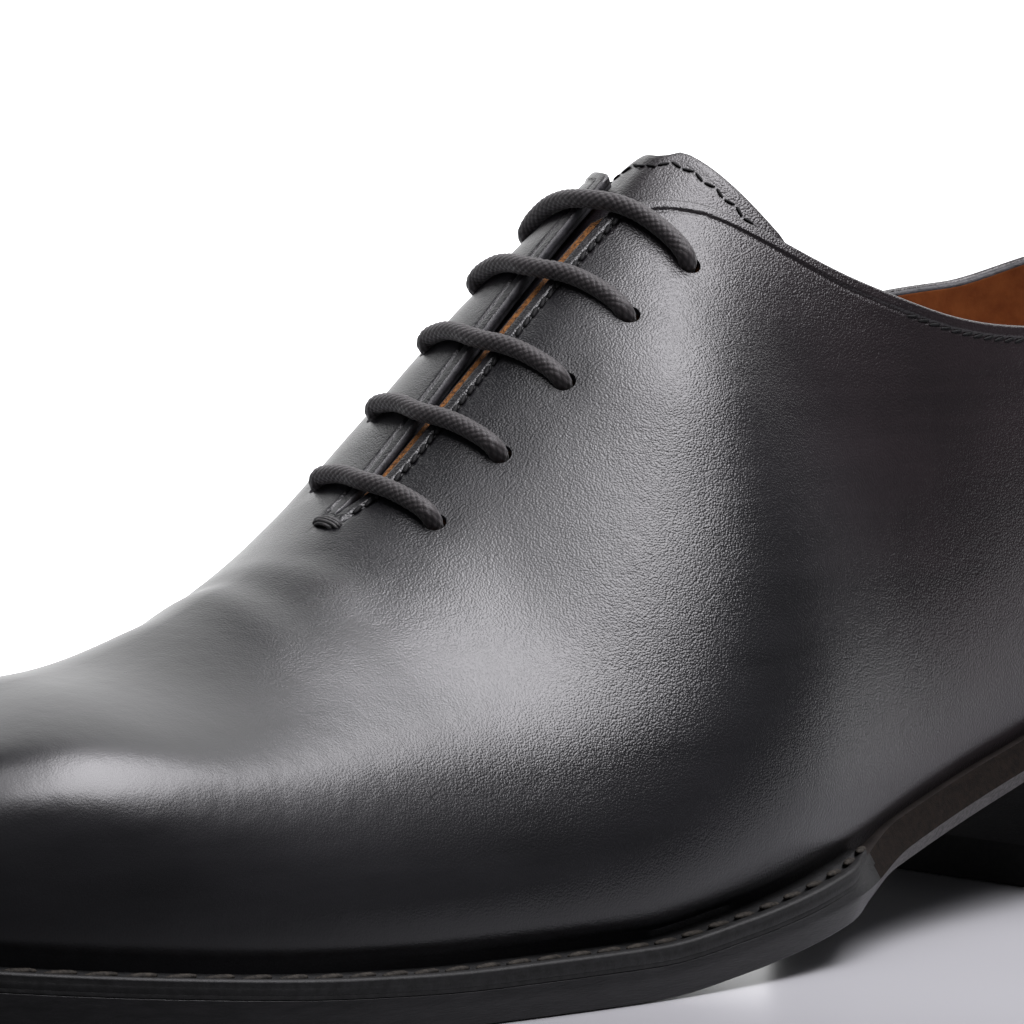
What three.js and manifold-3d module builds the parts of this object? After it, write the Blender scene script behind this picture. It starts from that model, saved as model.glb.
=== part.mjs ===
import * as THREE from 'three';
import Module from 'manifold-3d';
import { mergeVertices } from 'three/addons/utils/BufferGeometryUtils.js';

// A whole cut oxford, left shoe, in millimetres.
// +Z is up, the toe points to -Y and the outer (lateral) side of the foot is +X.
// The origin is on the floor under the middle of the heel.
// A station is a distance from the heel's back towards the toe: y = heelCentre - station.

// Driving sizes of the last
const lastLength = 288;       // feather line, heel back to toe tip
const ballWidth = 90;         // feather line across the ball
const instepHeight = 95;      // ridge above the feather line where the facings end
const collarHeight = 58;      // topline above the feather line at the heel's back
const heelHeight = 27;        // heel with its top piece, at the heel's back
const toeSpring = 5;          // rise of the sole at the toe tip

// Driving sizes of the pieces
const wall = 2;               // upper leather with its lining
const gap = 0.3;              // room between pieces that meet
const weltThickness = 2.4;
const outsoleThickness = 4.7;
const edgeWidth = 5;          // how far welt and outsole stand out past the feather line
const weltSeat = 3.6;         // how far the welt reaches in under the upper
const insoleRim = 1.4;        // the insole above the feather line
const topPieceThickness = 6;
const liftThickness = 5.5;    // each heel lift but the dished one under the sole
const liftCount = 3;
const heelTaper = 1.6;        // how far the heel's sides draw in from the sole to the floor
const tongueThickness = 1.5;
const tongueRoom = 0.7;       // room between the facings and the tongue
const laceDiameter = 2.6;
const eyeletDiameter = 3.3;
const eyeletPairs = 5;
const eyeletPitch = 14.6;     // along the instep ridge
const firstEyelet = 6.6;      // from the throat along the ridge
const eyeletInsetLow = 13.5;  // from the slit to the lowest lateral eyelet
const eyeletInsetTop = 16;    // from the slit to the highest lateral eyelet
const medialNearer = 2.5;     // how much nearer the slit the medial eyelets are
const throatStation = 183.7;  // where the facings part
const facingGapTop = 4.6;     // width of the slit at the top of the facings
const facingGapLow = 0.8;     // width of the slit just above the throat
const weltEnd = 128;          // station where the welt ends at the waist
const heelBreast = 64.5;      // station of the heel's front face
const tongueLap = 16;         // how far the tongue reaches under the vamp
const tongueRise = 14.5;      // how far it stands above the facings
const tongueTilt = 2.5;       // how much higher its lateral corner stands than its middle

// Derived sizes
const forepartHeight = outsoleThickness + weltThickness + 2 * gap;
const heelPitch = heelHeight - weltThickness;
const heelCentre = heelBreast / 2;

// Half sections of the last from the toe tip to the heel's back.
// station, ridge: shares of the last's length. lateral, medial, bulges, top, shoulders: shares of
// ball width. rises, crown, drop: shares of the instep height. The foot of each half section lies on
// the feather line at its station, leaves it outwards by its bulge and upwards by its rise, and
// arrives at the ridge from its shoulder.
const sectionColumns = ['station', 'lateral', 'medial', 'bulgeLateral', 'bulgeMedial',
  'riseLateral', 'riseMedial', 'ridge', 'top', 'crown', 'shoulderLateral', 'shoulderMedial', 'drop'];
const sections = [
  [1.000, -0.044, -0.044, 0.045, 0.045, 0.13, 0.13, 0.920, 0.000, 0.293, 0.145, 0.145, 0.000],
  [0.991, 0.073, -0.162, 0.040, 0.045, 0.16, 0.15, 0.917, 0.000, 0.299, 0.19, 0.145, 0.000],
  [0.967, 0.184, -0.251, 0.035, 0.045, 0.21, 0.17, 0.906, 0.000, 0.320, 0.26, 0.155, 0.000],
  [0.929, 0.289, -0.320, 0.030, 0.045, 0.26, 0.185, 0.885, 0.000, 0.341, 0.305, 0.15, 0.000],
  [0.875, 0.389, -0.373, 0.030, 0.045, 0.27, 0.195, 0.851, 0.000, 0.365, 0.30, 0.20, 0.000],
  [0.806, 0.464, -0.418, 0.050, 0.050, 0.24, 0.19, 0.799, 0.000, 0.390, 0.255, 0.18, 0.000],
  [0.729, 0.497, -0.442, 0.095, 0.055, 0.20, 0.205, 0.727, 0.000, 0.465, 0.225, 0.12, 0.000],
  [0.649, 0.523, -0.420, 0.130, 0.070, 0.185, 0.255, 0.649, 0.000, 0.545, 0.25, 0.25, 0.000],
  [0.566, 0.530, -0.344, 0.175, 0.100, 0.205, 0.315, 0.566, 0.000, 0.704, 0.31, 0.31, 0.000],
  [0.483, 0.507, -0.269, 0.135, 0.135, 0.265, 0.37, 0.486, 0.000, 0.865, 0.28, 0.295, 0.000],
  [0.399, 0.438, -0.231, 0.095, 0.155, 0.265, 0.40, 0.410, 0.017, 0.996, 0.19, 0.225, 0.032],
  [0.316, 0.382, -0.244, 0.095, 0.145, 0.29, 0.38, 0.337, 0.078, 1.105, 0.165, 0.175, 0.147],
  [0.233, 0.355, -0.293, 0.090, 0.110, 0.31, 0.335, 0.253, 0.133, 1.174, 0.15, 0.145, 0.274],
  [0.153, 0.344, -0.322, 0.080, 0.085, 0.315, 0.315, 0.170, 0.167, 1.185, 0.12, 0.12, 0.358],
  [0.083, 0.316, -0.304, 0.075, 0.075, 0.305, 0.305, 0.104, 0.150, 1.180, 0.11, 0.11, 0.421],
  [0.033, 0.229, -0.222, 0.065, 0.065, 0.295, 0.295, 0.066, 0.106, 1.179, 0.09, 0.09, 0.463],
  [0.007, 0.120, -0.116, 0.065, 0.065, 0.295, 0.295, 0.052, 0.056, 1.179, 0.065, 0.065, 0.484],
  [0.000, 0.000, 0.000, 0.065, 0.065, 0.295, 0.295, 0.047, 0.000, 1.179, 0.055, 0.055, 0.484],
];

// Feather line's height over the forepart: shares of the heel's pitch and of the toe spring.
const featherRows = [
  { at: 0.000, pitch: 1.000, spring: 0 },
  { at: 0.104, pitch: 0.965, spring: 0 },
  { at: 0.208, pitch: 0.860, spring: 0 },
  { at: 0.295, pitch: 0.640, spring: 0 },
  { at: 0.382, pitch: 0.430, spring: 0 },
  { at: 0.469, pitch: 0.235, spring: 0 },
  { at: 0.556, pitch: 0.075, spring: 0 },
  { at: 0.622, pitch: 0, spring: 0 },
  { at: 0.722, pitch: 0, spring: 0 },
  { at: 0.806, pitch: 0, spring: 0.18 },
  { at: 0.889, pitch: 0, spring: 0.50 },
  { at: 1.000, pitch: 0, spring: 1.00 },
];

// Sideways place of the instep ridge, as a share of ball width, over the share of the last's length.
const ridgeRows = [
  { at: 0.05, x: 0.000 },
  { at: 0.21, x: -0.016 },
  { at: 0.35, x: -0.034 },
  { at: 0.49, x: -0.046 },
  { at: 0.65, x: -0.046 },
  { at: 0.80, x: -0.040 },
  { at: 0.92, x: -0.046 },
];

// Topline above the feather line: shares of the collar height and of the instep height, with the share of
// the instep height by which the medial side stands higher.
const toplineRows = [
  { at: 0.000, collar: 1.000, instep: 0.000, medial: 0.000 },
  { at: 0.042, collar: 0.958, instep: 0.000, medial: 0.000 },
  { at: 0.097, collar: 0.883, instep: 0.000, medial: 0.000 },
  { at: 0.139, collar: 0.865, instep: 0.000, medial: 0.000 },
  { at: 0.208, collar: 0.820, instep: 0.038, medial: 0.000 },
  { at: 0.270, collar: 0.620, instep: 0.212, medial: 0.000 },
  { at: 0.309, collar: 0.440, instep: 0.376, medial: 0.003 },
  { at: 0.344, collar: 0.260, instep: 0.551, medial: 0.012 },
  { at: 0.375, collar: 0.100, instep: 0.710, medial: 0.022 },
  { at: 0.392, collar: 0.040, instep: 0.790, medial: 0.027 },
  { at: 0.414, collar: 0.000, instep: 0.873, medial: 0.032 },
  { at: 0.428, collar: 0.000, instep: 0.901, medial: 0.033 },
  { at: 0.442, collar: 0.000, instep: 0.912, medial: 0.033 },
  { at: 0.456, collar: 0.000, instep: 0.905, medial: 0.033 },
  { at: 0.470, collar: 0.000, instep: 0.886, medial: 0.033 },
  { at: 0.500, collar: 0.000, instep: 0.880, medial: 0.033 },
];

// The outsole's edge. out, crest and under are shares of the edge's width: the top rim, the crest and the
// bottom rim. dip is the share of the welt's thickness that the top lies under the feather line,
// ridge the crest's share of the way down, and base the bottom's share of the outsole's thickness.
const edgeRows = [
  { at: 0.000, out: 0.34, crest: 0.36, under: 0.34, dip: 0, ridge: 0.50, base: 1.00 },
  { at: 0.200, out: 0.30, crest: 0.34, under: 0.30, dip: 0, ridge: 0.50, base: 1.06 },
  { at: 0.260, out: 0.12, crest: 0.44, under: 0.14, dip: 0, ridge: 0.56, base: 1.28 },
  { at: 0.400, out: 0.12, crest: 0.50, under: 0.14, dip: 0, ridge: 0.56, base: 1.42 },
  { at: 0.440, out: 0.34, crest: 0.72, under: 0.44, dip: 0.35, ridge: 0.54, base: 1.30 },
  { at: 0.476, out: 0.92, crest: 1.00, under: 0.90, dip: 1, ridge: 0.30, base: 1.00 },
  { at: 0.520, out: 1.00, crest: 1.02, under: 0.96, dip: 1, ridge: 0.30, base: 1.00 },
  { at: 1.000, out: 1.00, crest: 1.02, under: 0.96, dip: 1, ridge: 0.30, base: 1.00 },
];

// A smooth curve through the rows of a table, with straight ends past its first and last row.
function along(rows, key) {
  const at = rows.map((row) => row.at);
  const value = rows.map((row) => row[key]);
  const last = rows.length - 1;
  const secant = (i) => (value[i + 1] - value[i]) / (at[i + 1] - at[i]);
  const slope = value.map((v, i) => {
    if (i === 0) return secant(0);
    if (i === last) return secant(last - 1);
    const before = secant(i - 1);
    const after = secant(i);
    if (before * after <= 0) return 0;
    const wideBefore = at[i] - at[i - 1];
    const wideAfter = at[i + 1] - at[i];
    const weight = (wideBefore + 2 * wideAfter) / (3 * (wideBefore + wideAfter));
    return (before * after) / (weight * after + (1 - weight) * before);
  });
  return (share) => {
    if (share <= at[0]) return value[0] + slope[0] * (share - at[0]);
    if (share >= at[last]) return value[last] + slope[last] * (share - at[last]);
    let i = 0;
    while (share > at[i + 1]) i += 1;
    const width = at[i + 1] - at[i];
    const t = (share - at[i]) / width;
    const a = value[i] * (1 + 2 * t) * (1 - t) * (1 - t) + slope[i] * width * t * (1 - t) * (1 - t);
    const b = value[i + 1] * t * t * (3 - 2 * t) + slope[i + 1] * width * t * t * (t - 1);
    return a + b;
  };
}

// A closed curve through evenly spaced values, with continuous curvature.
function around(values) {
  const count = values.length;
  const bend = new Array(count).fill(0);
  const sweeps = 60;
  for (let sweep = 0; sweep < sweeps; sweep += 1) {
    for (let i = 0; i < count; i += 1) {
      const before = (i + count - 1) % count;
      const after = (i + 1) % count;
      const turn = 6 * (values[before] - 2 * values[i] + values[after]);
      bend[i] = (turn - bend[before] - bend[after]) / 4;
    }
  }
  return (u) => {
    const wrapped = ((u % count) + count) % count;
    const i = Math.floor(wrapped);
    const j = (i + 1) % count;
    const b = wrapped - i;
    const a = 1 - b;
    return a * values[i] + b * values[j] + ((a * a * a - a) * bend[i] + (b * b * b - b) * bend[j]) / 6;
  };
}

// The last: its tables turned into curves. u runs over the half sections, from the toe tip along
// the lateral side to the heel's back and on along the medial side to the toe tip again.
const lastRow = sections.length - 1;
const turn = 2 * lastRow;
const column = Object.fromEntries(sectionColumns.map((name, i) => [name, sections.map((row) => row[i])]));

function loop(lateral, medial) {
  const values = [];
  for (let i = 0; i <= lastRow; i += 1) values.push(lateral[i]);
  for (let i = lastRow - 1; i > 0; i -= 1) values.push(medial[i]);
  return around(values);
}

const mirrored = (name) => loop(column[name], column[name]);
const station = mirrored('station');
const breadth = loop(column.lateral, column.medial);
const bulge = loop(column.bulgeLateral, column.bulgeMedial);
const rise = loop(column.riseLateral, column.riseMedial);
const ridgeStation = mirrored('ridge');
const topHalf = loop(column.top, column.top.map((value) => -value));
const crown = mirrored('crown');
const shoulder = loop(column.shoulderLateral, column.shoulderMedial);
const drop = mirrored('drop');

const pitchShare = along(featherRows, 'pitch');
const springShare = along(featherRows, 'spring');
const ridgeShare = along(ridgeRows, 'x');
const collarShare = along(toplineRows, 'collar');
const instepShare = along(toplineRows, 'instep');
const medialShare = along(toplineRows, 'medial');

const featherHeight = (s) => forepartHeight + heelPitch * pitchShare(s / lastLength)
  + toeSpring * springShare(s / lastLength);
const ridgeX = (s) => ballWidth * ridgeShare(s / lastLength);
const point = (x, s, z) => new THREE.Vector3(x, heelCentre - s, z);
const stationOf = (p) => heelCentre - p.y;

// Height of the topline over a point, on that point's side of the ridge.
function toplineOver(p) {
  const s = stationOf(p);
  const at = s / lastLength;
  const higher = p.x < ridgeX(s) ? medialShare(at) : 0;
  return featherHeight(s) + collarHeight * collarShare(at) + instepHeight * (instepShare(at) + higher);
}

// Outward direction of the feather line at u, level with the floor.
function outward(u) {
  const h = 1e-3;
  const dx = ballWidth * (breadth(u + h) - breadth(u - h));
  const dy = -lastLength * (station(u + h) - station(u - h));
  return new THREE.Vector3(dy, -dx, 0).normalize();
}

// A point of the feather line moved out by a distance and down by a depth under the line.
function feather(u, out = 0, depth = 0) {
  const p = point(ballWidth * breadth(u), lastLength * station(u), 0).addScaledVector(outward(u), out);
  p.z = featherHeight(stationOf(p)) - depth;
  return p;
}

// Height of the ridge, and its slope along the stations where both sides meet on it.
const crownRows = sections.slice(0, 12).map((row) => ({ at: row[7], crown: row[9] })).reverse();
const crownShare = along(crownRows, 'crown');
const ridgeHeight = (s) => featherHeight(s) + instepHeight * crownShare(s / lastLength);
const slopeFrom = 0.38 * lastLength;
const slopeFull = 0.50 * lastLength;
const slopeTo = 0.92 * lastLength;

function ridgeSlope(s) {
  const h = 0.5;
  const at = THREE.MathUtils.clamp(s, slopeFull, slopeTo);
  const faded = THREE.MathUtils.smoothstep(s, slopeFrom, slopeFull);
  return faded * (ridgeHeight(at + h) - ridgeHeight(at - h)) / (2 * h);
}

// The last's surface: v runs up a half section from the feather line to the ridge.
function surface(u, v) {
  const out = outward(u);
  const foot = feather(u);
  const low = foot.clone().addScaledVector(out, ballWidth * bulge(u));
  low.z += instepHeight * rise(u);
  const s = lastLength * ridgeStation(u);
  const half = s < throatStation - 1e-6 ? ballWidth * topHalf(u) : 0;
  const top = point(ridgeX(s) + half, s, featherHeight(s) + instepHeight * crown(u));
  const reach = ballWidth * shoulder(u);
  const high = top.clone().addScaledVector(out, reach);
  high.z -= instepHeight * drop(u) + out.y * reach * ridgeSlope(s);
  const w = 1 - v;
  return new THREE.Vector3()
    .addScaledVector(foot, w * w * w)
    .addScaledVector(low, 3 * w * w * v)
    .addScaledVector(high, 3 * w * v * v)
    .addScaledVector(top, v * v * v);
}

// Outward normal of the surface. On the shared ridge it stands square to the ridge line.
function surfaceNormal(u, v) {
  const s = lastLength * ridgeStation(u);
  if (v > 0.9999 && s > throatStation - 1e-6) return new THREE.Vector3(0, ridgeSlope(s), 1).normalize();
  const h = 1e-3;
  const a = Math.max(v - h, 0);
  const b = Math.min(v + h, 1);
  const alongU = surface(u + h, v).sub(surface(u - h, v));
  const alongV = surface(u, b).sub(surface(u, a));
  return alongU.cross(alongV).normalize();
}

// A point under the surface by a depth. At the feather line it moves in level with the floor.
function under(u, v, depth) {
  const p = surface(u, v);
  const inward = v === 0 ? outward(u) : surfaceNormal(u, v);
  return p.addScaledVector(inward, -depth);
}

// Sides of the shoe: u counts from the toe tip on the lateral side and backwards on the medial one.
const lateral = (t) => t;
const medial = (t) => turn - t;

// Half width of the slit between the facings at a station.
const cornerStation = 0.455 * lastLength;
function slitHalf(s) {
  const share = THREE.MathUtils.clamp((throatStation - s) / (throatStation - cornerStation), 0, 1.2);
  if (s >= throatStation || s < crownRows[0].at * lastLength) return 0;
  return (facingGapLow + (facingGapTop - facingGapLow) * share) / 2;
}

// How far a half section runs up before something trims it: the slit, or the slit and the topline.
const inSlit = (p) => Math.abs(p.x - ridgeX(stationOf(p))) < slitHalf(stationOf(p));
const overTopline = (p) => p.z > toplineOver(p);
const slitEdge = (u) => runUp(u, inSlit);
const trimmed = (u) => runUp(u, (p) => inSlit(p) || overTopline(p));

function runUp(u, isPast) {
  if (lastLength * ridgeStation(u) > throatStation - 1e-6) return 1;
  const past = (v) => isPast(surface(u, v));
  let low = 0.3;
  let high = 1;
  for (let i = 0; i < 40; i += 1) {
    const mid = (low + high) / 2;
    if (past(mid)) high = mid;
    else low = mid;
  }
  return low;
}

// Where a side's half sections change from ending at the slit to ending at the topline.
function cornerOf(side) {
  let low = 8;
  let high = 12;
  for (let i = 0; i < 40; i += 1) {
    const mid = (low + high) / 2;
    const p = surface(side(mid), trimmed(side(mid)));
    if (p.z > toplineOver(p) - 0.01) high = mid;
    else low = mid;
  }
  return high;
}

// The half section whose foot, or whose end on the ridge, lies at a station.
function sectionWhere(curve, s) {
  let low = 0;
  let high = lastRow;
  for (let i = 0; i < 50; i += 1) {
    const mid = (low + high) / 2;
    if (lastLength * curve(mid) > s) low = mid;
    else high = mid;
  }
  return low;
}

const sectionAtRidge = (s) => sectionWhere(ridgeStation, s);
const sectionAtFoot = (s) => sectionWhere(station, s);

// Half sections that the meshes use: finer along the facings, with one on the throat, and close together
// where the topline turns round the corner of a facing.
const throatSection = sectionAtRidge(throatStation);
const cornerSteps = [0, 0.06, 0.14, 0.24, 0.36];

function sectionList(side) {
  const even = [];
  for (let i = 0; i < lastRow; i += 1) {
    const parts = i >= 6 && i < 11 ? 3 : 2;
    for (let k = 0; k < parts; k += 1) even.push(i + k / parts);
  }
  even.push(lastRow);
  const corner = cornerOf(side);
  const exact = [throatSection, ...cornerSteps.map((step) => corner + step)];
  const clear = (t) => exact.every((other) => Math.abs(t - other) > 0.12);
  return [...even.filter(clear), ...exact].sort((a, b) => a - b);
}

const lateralSections = sectionList(lateral);
const medialSections = sectionList(medial);
const ringSections = [
  ...lateralSections.map(lateral),
  ...medialSections.slice(1, -1).reverse().map(medial),
];

// Turns points and triangles into a geometry whose faces point out.
function body(points, triangles) {
  let volume = 0;
  for (const [a, b, c] of triangles) {
    volume += points[a].dot(points[b].clone().cross(points[c]));
  }
  const faces = volume < 0 ? triangles.map(([a, b, c]) => [a, c, b]) : triangles;
  const numbers = points.flatMap((p) => p.toArray());
  const geometry = new THREE.BufferGeometry();
  geometry.setAttribute('position', new THREE.Float32BufferAttribute(numbers, 3));
  geometry.setIndex(faces.flat());
  const merged = mergeVertices(geometry, 1e-3);
  const index = merged.getIndex().array;
  const kept = [];
  for (let i = 0; i < index.length; i += 3) {
    const [a, b, c] = [index[i], index[i + 1], index[i + 2]];
    if (a !== b && b !== c && c !== a) kept.push(a, b, c);
  }
  merged.setIndex(kept);
  return merged;
}

// A sheet with thickness: two grids of points joined round the edges that aren't closed on themselves.
function shell(outer, inner, closed) {
  const columns = outer.length;
  const rows = outer[0].length;
  const points = [...outer.flat(), ...inner.flat()];
  const half = columns * rows;
  const triangles = [];
  const quad = (a, b, c, d) => triangles.push([a, b, c], [a, c, d]);
  const spans = closed ? columns : columns - 1;
  for (let i = 0; i < spans; i += 1) {
    const a = i * rows;
    const b = ((i + 1) % columns) * rows;
    for (let j = 0; j < rows - 1; j += 1) {
      quad(a + j, b + j, b + j + 1, a + j + 1);
      quad(half + a + j, half + a + j + 1, half + b + j + 1, half + b + j);
    }
    quad(a, half + a, half + b, b);
    if (!seam(outer[i], outer[(i + 1) % columns], rows)) {
      quad(a + rows - 1, b + rows - 1, half + b + rows - 1, half + a + rows - 1);
    }
  }
  if (!closed) {
    const last = (columns - 1) * rows;
    for (let j = 0; j < rows - 1; j += 1) {
      quad(j, j + 1, half + j + 1, half + j);
      quad(last + j, half + last + j, half + last + j + 1, last + j + 1);
    }
  }
  return body(points, triangles);
}

// Along the vamp both sides end on the same ridge points, so no rim runs there.
function seam(first, second, rows) {
  const onRidge = (p) => {
    const s = stationOf(p);
    return s > throatStation - 1e-3 && Math.abs(p.x - ridgeX(s)) < 1e-3;
  };
  return onRidge(first[rows - 1]) && onRidge(second[rows - 1]);
}

// The eyelets: places on the facings, measured up the ridge from the throat and out from the slit.
const ridgeSteps = 400;

function ridgeWalk(distance) {
  let walked = 0;
  let s = throatStation;
  const step = (throatStation - 0.3 * lastLength) / ridgeSteps;
  while (walked < distance) {
    const dz = ridgeHeight(s - step) - ridgeHeight(s);
    walked += Math.hypot(step, dz);
    s -= step;
  }
  return s;
}

// Walks down a half section from the slit by a distance and gives v there.
function walkDown(u, distance) {
  const steps = 300;
  let v = slitEdge(u);
  let p = surface(u, v);
  let walked = 0;
  while (walked < distance) {
    v -= 1 / steps;
    const next = surface(u, v);
    walked += next.distanceTo(p);
    p = next;
  }
  return v;
}

function eyelet(side, pair) {
  const inset = eyeletInsetLow + (eyeletInsetTop - eyeletInsetLow) * pair / (eyeletPairs - 1);
  const u = side(sectionAtRidge(ridgeWalk(firstEyelet + eyeletPitch * pair)));
  const v = walkDown(u, side === medial ? inset - medialNearer : inset);
  return { u, v, centre: surface(u, v), normal: surfaceNormal(u, v) };
}

const eyelets = [];
for (let pair = 0; pair < eyeletPairs; pair += 1) {
  eyelets.push({ lateral: eyelet(lateral, pair), medial: eyelet(medial, pair) });
}

// Solids for manifold-3d, which cuts the eyelets.
const wasm = await Module();
wasm.setup();

function solid(geometry) {
  const merged = mergeVertices(bare(geometry), 1e-3);
  return new wasm.Manifold(new wasm.Mesh({
    numProp: 3,
    vertProperties: new Float32Array(merged.getAttribute('position').array),
    triVerts: new Uint32Array(merged.getIndex().array),
  }));
}

function bare(geometry) {
  const copy = geometry.clone();
  copy.deleteAttribute('normal');
  copy.deleteAttribute('uv');
  return copy;
}

function geometryOf(manifold) {
  const mesh = manifold.getMesh();
  const geometry = new THREE.BufferGeometry();
  geometry.setAttribute('position', new THREE.BufferAttribute(mesh.vertProperties.slice(), 3));
  geometry.setIndex(new THREE.BufferAttribute(mesh.triVerts.slice(), 1));
  return geometry;
}

// Upper: one shell from the feather line to the ridge, the slit and the topline.
const upperRows = 12;

function upperGeometry() {
  const grid = (depth) => ringSections.map((u) => {
    const top = trimmed(u);
    const points = [];
    for (let j = 0; j <= upperRows; j += 1) points.push(under(u, top * j / upperRows, depth));
    return points;
  });
  let cut = solid(shell(grid(0), grid(wall), true));
  for (const pair of eyelets) {
    for (const hole of [pair.lateral, pair.medial]) {
      const punch = new THREE.CylinderGeometry(eyeletDiameter / 2, eyeletDiameter / 2, 5 * wall, 12);
      const turned = new THREE.Quaternion().setFromUnitVectors(new THREE.Vector3(0, 1, 0), hole.normal);
      punch.applyQuaternion(turned);
      punch.translate(...hole.centre.toArray());
      cut = cut.subtract(solid(punch));
    }
  }
  return geometryOf(cut);
}

// Tongue: a curved sheet under the facings, from under the vamp to above their tops.
const tongueFoot = 0.17 * ballWidth;
const tongueHead = 0.29 * ballWidth;
const tongueSpans = 14;
const tongueAcross = 14;

function ridgeArc(station) {
  let walked = 0;
  const step = (throatStation - station) / ridgeSteps;
  for (let i = 0; i < ridgeSteps; i += 1) {
    const s = throatStation - i * step;
    walked += Math.hypot(step, ridgeHeight(s - step) - ridgeHeight(s));
  }
  return walked;
}

// A point beside the ridge by a distance over the surface, then under it by a depth.
function besideRidge(s, distance, depth) {
  const side = distance < 0 ? medial : lateral;
  const u = side(sectionAtRidge(s));
  const flat = Math.abs(ballWidth * topHalf(u));
  const ridgeNormal = new THREE.Vector3(0, ridgeSlope(s), 1).normalize();
  if (Math.abs(distance) <= flat) {
    return point(ridgeX(s) + distance, s, surface(u, 1).z).addScaledVector(ridgeNormal, -depth);
  }
  const steps = 120;
  let v = 1;
  let p = surface(u, v);
  let left = Math.abs(distance) - flat;
  while (left > 0) {
    v -= 1 / steps;
    const next = surface(u, v);
    left -= next.distanceTo(p);
    p = next;
  }
  return p.addScaledVector(surfaceNormal(u, v), -depth);
}

function tongueGeometry() {
  const reach = ridgeArc(cornerStation) + tongueRise;
  const grid = (depth) => {
    const columns = [];
    for (let i = 0; i <= tongueAcross; i += 1) {
      const q = 2 * i / tongueAcross - 1;
      const points = [];
      for (let j = 0; j <= tongueSpans; j += 1) {
        const share = j / tongueSpans;
        const arc = -tongueLap + (reach + tongueLap + tongueTilt * q) * share;
        const s = arc < 0 ? throatStation - arc : ridgeWalk(arc);
        points.push(besideRidge(s, q * (tongueFoot + (tongueHead - tongueFoot) * share), depth));
      }
      columns.push(points);
    }
    return columns;
  };
  const face = wall + tongueRoom;
  return shell(grid(face), grid(face + tongueThickness), false);
}

// Plates of the sole and heel: rings of points up or down, closed by strips across the foot.
function plate(rings) {
  const count = rings[0].lateral.length;
  const points = rings.flatMap((ring) => [...ring.lateral, ...[...ring.medial].reverse()]);
  const size = 2 * count;
  const triangles = [];
  const quad = (a, b, c, d) => triangles.push([a, b, c], [a, c, d]);
  for (let k = 0; k < rings.length - 1; k += 1) {
    for (let i = 0; i < size; i += 1) {
      const j = (i + 1) % size;
      quad(k * size + i, k * size + j, (k + 1) * size + j, (k + 1) * size + i);
    }
  }
  const bottom = (rings.length - 1) * size;
  for (let i = 0; i < count - 1; i += 1) {
    const [a, b] = [size - 1 - i, size - 2 - i];
    quad(i, a, b, i + 1);
    quad(bottom + i, bottom + i + 1, bottom + b, bottom + a);
  }
  return body(points, triangles);
}

// One ring: each side's points at an outward distance and a depth that both depend on the station.
function ring(list, out, depth) {
  const points = (side) => list.map((t) => {
    const s = lastLength * station(side(t));
    const p = feather(side(t), out(s));
    p.z -= depth(stationOf(p));
    return p;
  });
  return { lateral: points(lateral), medial: points(medial) };
}

const edge = Object.fromEntries(['out', 'crest', 'under', 'dip', 'ridge', 'base']
  .map((key) => [key, along(edgeRows, key)]));
const share = (s) => THREE.MathUtils.clamp(s / lastLength, 0, 1);
const dip = (s) => THREE.MathUtils.clamp(edge.dip(share(s)), 0, 1);
const soleTop = (s) => gap + weltThickness * dip(s) + gap * Math.min(1, 3 * dip(s));
const soleBase = (s) => soleTop(s) + outsoleThickness * edge.base(share(s));
const soleCrest = (s) => soleTop(s) + edge.ridge(share(s)) * (soleBase(s) - soleTop(s));
const edgeOut = (key) => (s) => edgeWidth * edge[key](share(s));

// The sole's sections are the upper's, with one at the welt's end and one at the heel's breast.
const weltSection = sectionAtFoot(weltEnd);
const breastSection = sectionAtFoot(heelBreast);
const soleSections = lateralSections
  .filter((t) => [weltSection, breastSection].every((exact) => Math.abs(t - exact) > 0.2))
  .concat(weltSection, breastSection)
  .sort((a, b) => a - b);

function outsoleGeometry() {
  return plate([
    ring(soleSections, edgeOut('out'), soleTop),
    ring(soleSections, edgeOut('crest'), soleCrest),
    ring(soleSections, edgeOut('under'), soleBase),
  ]);
}

function insoleGeometry() {
  const low = (s) => soleTop(s) - gap;
  const narrow = () => -(weltSeat + gap);
  const wide = () => -(wall + gap);
  return plate([
    ring(soleSections, wide, () => -insoleRim),
    ring(soleSections, wide, () => 0),
    ring(soleSections, narrow, () => 0),
    ring(soleSections, narrow, low),
  ]);
}

// Welt: a strip round the forepart, thinned towards its two ends at the waist.
function weltGeometry() {
  const half = soleSections.filter((t) => t <= weltSection);
  const strip = [...half.slice(1).reverse().map(medial), ...half.map(lateral)];
  const top = () => gap;
  const low = (s) => gap + weltThickness * Math.max(dip(s), 0.3);
  const grid = (depth) => strip.map((u) => {
    const s = lastLength * station(u);
    return [-weltSeat, edgeOut('out')(s)].map((out) => {
      const p = feather(u, out);
      p.z -= depth(stationOf(p));
      return p;
    });
  });
  return shell(grid(top), grid(low), false);
}

// Heel: lifts with flat joints, the first one dished to the sole above it, over a top piece.
const heelSections = soleSections.filter((t) => t >= breastSection);
const heelTop = heelHeight;

function heelOut(z) {
  return (s) => edgeOut('under')(s) - heelTaper * (1 - z / heelTop);
}

function flatRing(z) {
  const made = ring(heelSections, heelOut(z), () => 0);
  for (const p of [...made.lateral, ...made.medial]) p.z = z;
  return made;
}

function liftGeometry(low, high) {
  return plate([flatRing(high), flatRing(low)]);
}

function dishedLiftGeometry(low) {
  return plate([ring(heelSections, heelOut(heelTop), (s) => soleBase(s) + gap), flatRing(low)]);
}

// Lace bars: out of one eyelet, round its rim, over the facings and down into the eyelet across.
class LaceRoute extends THREE.CatmullRomCurve3 {
  getPointAt(t) {
    return this.getPoint(t);
  }

  getTangentAt(t) {
    return this.getTangent(t);
  }
}

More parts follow.
